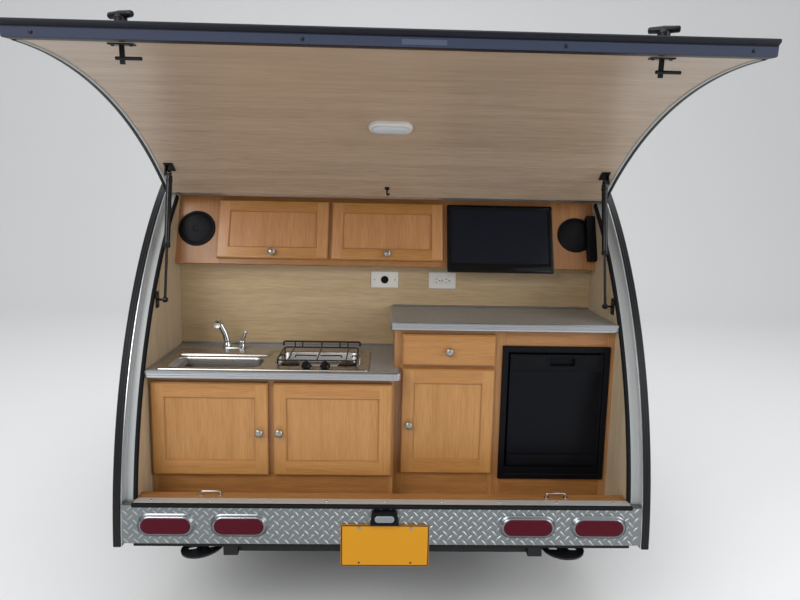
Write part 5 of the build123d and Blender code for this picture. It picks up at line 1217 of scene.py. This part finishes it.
for x in (-741.0, -494.0, 494.0, 741.0):
    span = ((x - 99.0, x + 99.0), (26.5, 109.5))
    lens = ((x - 82.5, x + 82.5), (40.0, 98.0))
    lamps.append(rimmed(rear_plane, *span, 41.5, [
        (0.0, 0.2), (0.0, 1.6), (-1.0, 2.6), (-3.0, 3.4), (-5.0, 5.6), (-7.2, 8.6), (-9.6, 11.0), (-12.0, 12.4),
        (-14.0, 12.9), (-14.9, 12.6), (-15.4, 11.6), (-15.5, 8.0)], index=0, steps=14))
    lamps.append(rimmed(rear_plane, *lens, 28.0, [
        (1.0, 8.0), (0.6, 12.0), (-1.0, 14.0), (-4.0, 15.2), (-10.0, 16.0), (-20.0, 16.4)], index=1, steps=14))
    lamps.append(filled(rear_plane, [rounded(*lens, 28.0, -20.0, 14)], 16.4, 1))
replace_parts(built("tail_lamp_units", lamps, [bezel_plated, lens_red], 32.0, "root", closed=False), "tail_lamps")

# Licence plate: pressed aluminium enamelled amber, left blank, with an embossed border, two
# screws above and two open holes below, under a black lamp with a ribbed clear lens.
amber, tree, shader = surface("aluminium_enamelled_amber", "#cb8c10", 0.34, shine=0.3)
ink, _, _ = surface("enamel_printed_black", "#1a1712", 0.4)
lens_clear, tree, shader = surface("acrylic_moulded_clear", "#868c90", 0.14)
plate_x, plate_z = (3.0 - 152.4, 3.0 + 152.4), (-78.0, 75.0)
plate = [
    rimmed(rear_plane, plate_x, plate_z, 8.0, [(0.0, 3.0), (0.0, 4.6), (-0.5, 5.0), (-2.6, 5.0),
    (-3.6, 5.8), (-6.0, 5.8), (-7.0, 5.0)]),
    filled(rear_plane, [rounded(plate_x, plate_z, 8.0, -7.0)], 5.0),
    filled(rear_plane, [rounded(plate_x, plate_z, 8.0)], 3.0),
    rimmed(rear_plane, plate_x, plate_z, 8.0, [(-1.4, 4.9), (-1.8, 6.1), (-5.2, 6.1), (-5.6, 5.6)], index=1),
]
for x, z, index in ((-86.0, 62.0, 2), (92.0, 62.0, 2), (-86.0, -65.0, 1), (92.0, -65.0, 1)):
    rows = [(5.0, 6.5), (6.6, 6.0), (7.6, 3.4), (7.4, 0.0)] if index == 2 else [(5.0, 4.0), (5.15, 3.8),
        (5.15, 0.0)]
    plate.append(lathe(rows, (x, 0.0, z), (0, -1, 0), 24, index))
housing = np.array([
    [(-49.0, 79.0), (49.0, 79.0), (43.0, 121.0), (37.0, 128.6), (-37.0, 128.6), (-43.0, 121.0)],
    [(-47.0, 81.0), (47.0, 81.0), (41.0, 120.0), (35.5, 126.6), (-35.5, 126.6), (-41.0, 120.0)],
])
loops = np.array([[(x, z, out) for x, z in housing[k]] for k, out in ((0, 0.3), (0, 18.0), (1, 22.0))])
plate.append(grid(laid(rear_plane, loops), close_v=True, index=3))
lens_x, lens_z = (-33.0, 33.0), (91.0, 114.0)
plate.append(filled(rear_plane, [housing[1], rounded(lens_x, lens_z, 11.0, 2.0)], 22.0, 3))
plate.append(rimmed(rear_plane, lens_x, lens_z, 11.0, [(2.0, 22.0), (1.0, 21.4), (0.4, 20.0)], index=3))
ribs = np.array([(0.4, 20.0), (0.0, 22.6), (-1.5, 23.8), (-4.0, 24.0)])
plate.append(rimmed(rear_plane, lens_x, lens_z, 11.0, ribs, index=4))
plate.append(filled(rear_plane, [rounded(lens_x, lens_z, 11.0, -4.0)], 24.0, 4))
for x in np.linspace(-25.0, 25.0, 11):
    plate.append(plank((x - 1.2, lens_z[0] + 4.0, 23.6), (x + 1.2, lens_z[1] - 4.0, 25.0), 0.5, 4,
        frame=rear_plane))
plate.append(plank((-30.0, 20.0, 0.3), (30.0, 80.0, 2.9), 0.6, 3, frame=rear_plane))
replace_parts(built("licence_plate_blank", plate, [amber, ink, nickel, dark_plastic, lens_clear], 32.0, "root",
                  closed=False), "licence_plate")

# Sill: an aluminium lip before a maple board with its drip leg, two chromed loops on their feet for the
# latches, and a black seal hooked over the bumper's edge, where the hatch's nose lands.
mill_finish, tree, shader = surface("aluminium_extruded_dull", "#bcbcba", 0.42, 0.35)
spot = add(tree, "ShaderNodeTexCoord").outputs["Object"]
drawn = add(tree, "ShaderNodeMapping", {"Vector": spot, "Scale": (5.0, 700.0, 700.0)})
lines = add(tree, "ShaderNodeTexNoise", {"Vector": drawn.outputs["Vector"], "Scale": 1.0, "Detail": 3.0})
tone = add(tree, "ShaderNodeMapRange", {"Value": lines.outputs["Fac"], "To Min": 0.42, "To Max": 0.62})
tree.links.new(tone.outputs["Result"], shader.inputs["Roughness"])
sill_half, loop_x = 855.8, 608.0
sill = [
    plank((-sill_half, 14.0, 137.0), (sill_half, 53.0, 141.0), 1.2),
    plank((-sill_half, 52.0, 137.0), (sill_half, 100.0, 140.2), 1.0, 2),
    plank((-sill_half, 96.0, 38.0), (sill_half, 99.8, 139.0), 0.6, 2),
]
for x in (-loop_x, loop_x):
    sill += tube(bend([(x - 34.0, 74.0, 140.0), (x - 34.0, 74.0, 156.0), (x + 34.0, 74.0, 156.0),
        (x + 34.0, 74.0, 140.0)],
                      8.0, 6), 3.0, 12, 1)
    for foot_x in (x - 34.0, x + 34.0):
        sill.append(lathe([(0.0, 8.0), (1.6, 8.0), (2.4, 6.4), (2.8, 3.0)], (foot_x, 74.0, 140.2),
            (0, 0, 1), 20, 1))
for x in np.linspace(-800.0, 800.0, 9):
    sill.append(lathe([(0.0, 4.6), (1.2, 4.0), (1.9, 2.2), (2.0, 0.0)], (x, 34.0, 140.9), (0, 0, 1), 16, 1))
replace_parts(built("sill_strip", sill, [mill_finish, nut_chrome, frame_maple[1]], 32.0, "root",
    closed=False), "sill")
bulb = [(-0.3, 130.5), (-2.4, 130.5), (-3.4, 132.0), (-3.8, 139.0), (-2.8, 142.0), (0.0, 143.2), (6.0, 143.4),
        (10.0, 142.6), (12.0, 141.4), (13.6, 140.9), (13.6, 137.2), (-0.3, 137.2)]
seal = np.array([[(x, y, z) for y, z in bulb] for x in (-sill_half, sill_half)])
n = len(bulb)
built("sill_seal", [grid(place(seal), close_v=True), (place(seal).reshape(-1, 3),
    [range(n), range(n, 2 * n)], 0, 0.0)],
      [seal_rubber], 50.0, "root")

# Stabiliser feet: round steel plates with a turned-up rim and two slots, each hung by two
# ears and a pin from its leg, so that it swings level, or a little off it, as it was left.
feet_at = {"left": (-645.0, 7.0), "right": (645.0, -1.0)}
for hand, (x, tip) in feet_at.items():
    tip = math.radians(tip)
    tilted = np.array([
        (x, 80.0, -32.0), (math.cos(tip), 0.0, math.sin(tip)), (0.0, 1.0, 0.0),
        (-math.sin(tip), 0.0, math.cos(tip)),
    ])
    round_plate = ((-75.0, 75.0), (-75.0, 75.0))
    slots = [((-50.0, -20.0), (-9.0, 9.0)), ((20.0, 50.0), (-9.0, 9.0))]
    foot = [
        rimmed(tilted, *round_plate, 75.0, [
            (-9.0, -28.0), (-2.5, -28.0), (-0.4, -26.6), (0.0, -20.5), (-1.6, -19.6), (-3.0, -20.4),
            (-3.6, -22.6), (-9.0, -23.6),
        ], steps=16),
        filled(tilted, [rounded(*round_plate, 75.0, -9.0, 16), *(rounded(*s, 6.0) for s in slots)], -23.6),
        filled(tilted, [rounded(*round_plate, 75.0, -9.0, 16), *(rounded(*s, 6.0) for s in slots)], -28.0),
    ]
    foot += [rimmed(tilted, *s, 6.0, [(0.0, -23.6), (0.0, -28.0)]) for s in slots]
    for side in (-1.0, 1.0):
        foot.append(plank((side * 10.0, -13.0, -24.0), (side * 16.0, 13.0, 12.0), 1.0, frame=tilted))
        foot.append(lathe([(15.5, 7.0), (19.0, 7.0), (20.0, 5.5), (20.0, 0.0)], tilted[0], side * tilted[1],
            20))
    foot.append(lathe([(-16.0, 5.0), (16.0, 5.0)], tilted[0], tilted[1], 20))
    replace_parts(built(f"stabiliser_foot_{hand}", foot, [black_paint], 35.0, f"stabiliser_pad_{hand}",
        closed=False),
                f"stabiliser_pad_{hand}")

# Mattress: foam in a cotton ticking cover with corded edges, laid on the deck between the
# side walls. The cover is blown full as cloth, so its top crowns, its sides pull in between
# the corners, and it stays flat on the deck.
ticking, tree, shader = surface("cotton_ticking_woven", "#cdc8bc", 0.88, shine=0.25)
shader.inputs["Sheen Weight"].default_value = 0.25
shader.inputs["Sheen Roughness"].default_value = 0.5
spot = add(tree, "ShaderNodeTexCoord").outputs["Object"]
turned_spot = add(tree, "ShaderNodeMapping", {"Vector": spot, "Rotation": (0.0, 0.0, math.pi / 4)})
apart = add(tree, "ShaderNodeSeparateXYZ", {"Vector": turned_spot.outputs["Vector"]})
threads = []
for side in ("X", "Y"):
    fast = add(tree, "ShaderNodeMath", {0: apart.outputs[side], 1: 2600.0}, operation="MULTIPLY")
    threads.append(add(tree, "ShaderNodeMath", {0: fast.outputs["Value"]}, operation="SINE"))
woven = add(tree, "ShaderNodeMath", {0: threads[0].outputs["Value"], 1: threads[1].outputs["Value"]},
    operation="MULTIPLY")
bumped(tree, shader, woven.outputs["Value"], 0.3)
cording, _, _ = surface("cotton_cording_grey", "#8f8b83", 0.9, shine=0.2)

foam = bmesh.new()
foam.from_mesh(frame["nodes"]["mattress"].data)
bmesh.ops.remove_doubles(foam, verts=foam.verts, dist=1e-5)
cover = bpy.data.meshes.new("mattress_cover")
foam.to_mesh(cover)
foam.free()
low, high = (np.array(corner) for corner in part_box("mattress"))
middle, shrink, swell_most, voxel = (low + high) / 2, 0.009, 0.012, 0.02


def points_of(mesh):
    """Vertices of a mesh as an (n, 3) array."""
    flat = np.empty(3 * len(mesh.vertices), dtype=np.float32)
    mesh.vertices.foreach_get("co", flat)
    return flat.reshape(-1, 3).astype(float)


def drawn_mesh(owner):
    """Mesh of an object with its modifiers applied, which are then taken off."""
    made = bpy.data.meshes.new_from_object(owner.evaluated_get(bpy.context.evaluated_depsgraph_get()))
    owner.modifiers.clear()
    return made


spots = middle + (points_of(cover) - middle) * (1.0 - 2 * shrink / (high - low))
cover.vertices.foreach_set("co", spots.astype(np.float32).ravel())
mattress = bpy.data.objects.new("mattress_cover", cover)
bpy.context.collection.objects.link(mattress)
remesh = mattress.modifiers.new("remesh", "REMESH")
remesh.mode, remesh.voxel_size = "VOXEL", voxel
mattress.data = drawn_mesh(mattress)
slack = points_of(mattress.data)
full = slack.copy()
cloth = mattress.modifiers.new("cloth", "CLOTH")
cloth.settings.use_pressure = True
cloth.settings.uniform_pressure_force = 4.0
cloth.settings.effector_weights.gravity = 0.0
for step in range(1, 21):
    bpy.context.scene.frame_set(step)
full = points_of(drawn_mesh(mattress))
bpy.context.scene.frame_set(1)
# A point moves along its own way by c tanh(d / c), so that none moves further than c.
move = full - slack
far = np.maximum(np.linalg.norm(move, axis=1, keepdims=True), 1e-9)
full = slack + move / far * swell_most * np.tanh(far / swell_most)
full[:, 2] = np.maximum(full[:, 2], low[2])
mattress.data.vertices.foreach_set("co", full.astype(np.float32).ravel())
mattress.data.polygons.foreach_set("use_smooth", np.full(len(mattress.data.polygons), True))
mattress.data.materials.clear()
mattress.data.materials.append(ticking)
soften = mattress.modifiers.new("soften", "SUBSURF")
soften.levels = soften.render_levels = 1
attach(mattress, "root")
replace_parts(mattress, "mattress")

# The cords lie on the cover's two edges, carried with the points of it that lie nearest.
near = mathutils.kdtree.KDTree(len(slack))
for index, spot in enumerate(slack):
    near.insert(spot, index)
near.balance()
cords = []
plan = rounded((1000 * (low[0] + shrink), 1000 * (high[0] - shrink)),
               (1000 * (low[1] - rear + shrink), 1000 * (high[1] - rear - shrink)), 51.0, 0.0, 8)
closed_plan = np.concatenate([plan, plan[:1]])
run = np.concatenate([[0.0], np.cumsum(np.linalg.norm(np.diff(closed_plan, axis=0), axis=1))])
along_plan = np.linspace(0.0, run[-1], 320)
plan = np.stack([np.interp(along_plan, run, closed_plan[:, k]) for k in (0, 1)], axis=-1)
for height in (high[2] - shrink, low[2] + shrink):
    line = place(np.concatenate([plan, np.full((len(plan), 1), 1000 * (height - deck))], axis=-1))
    nearest = np.array([[found[1] for found in near.find_n(spot, 6)] for spot in line])
    line = line + (full - slack)[nearest].mean(axis=1)
    cords += tube(1000 * (line - (0.0, rear, deck)), 3.4, 8)[:1]
built("mattress_cording", cords, [cording], 60.0, "root")
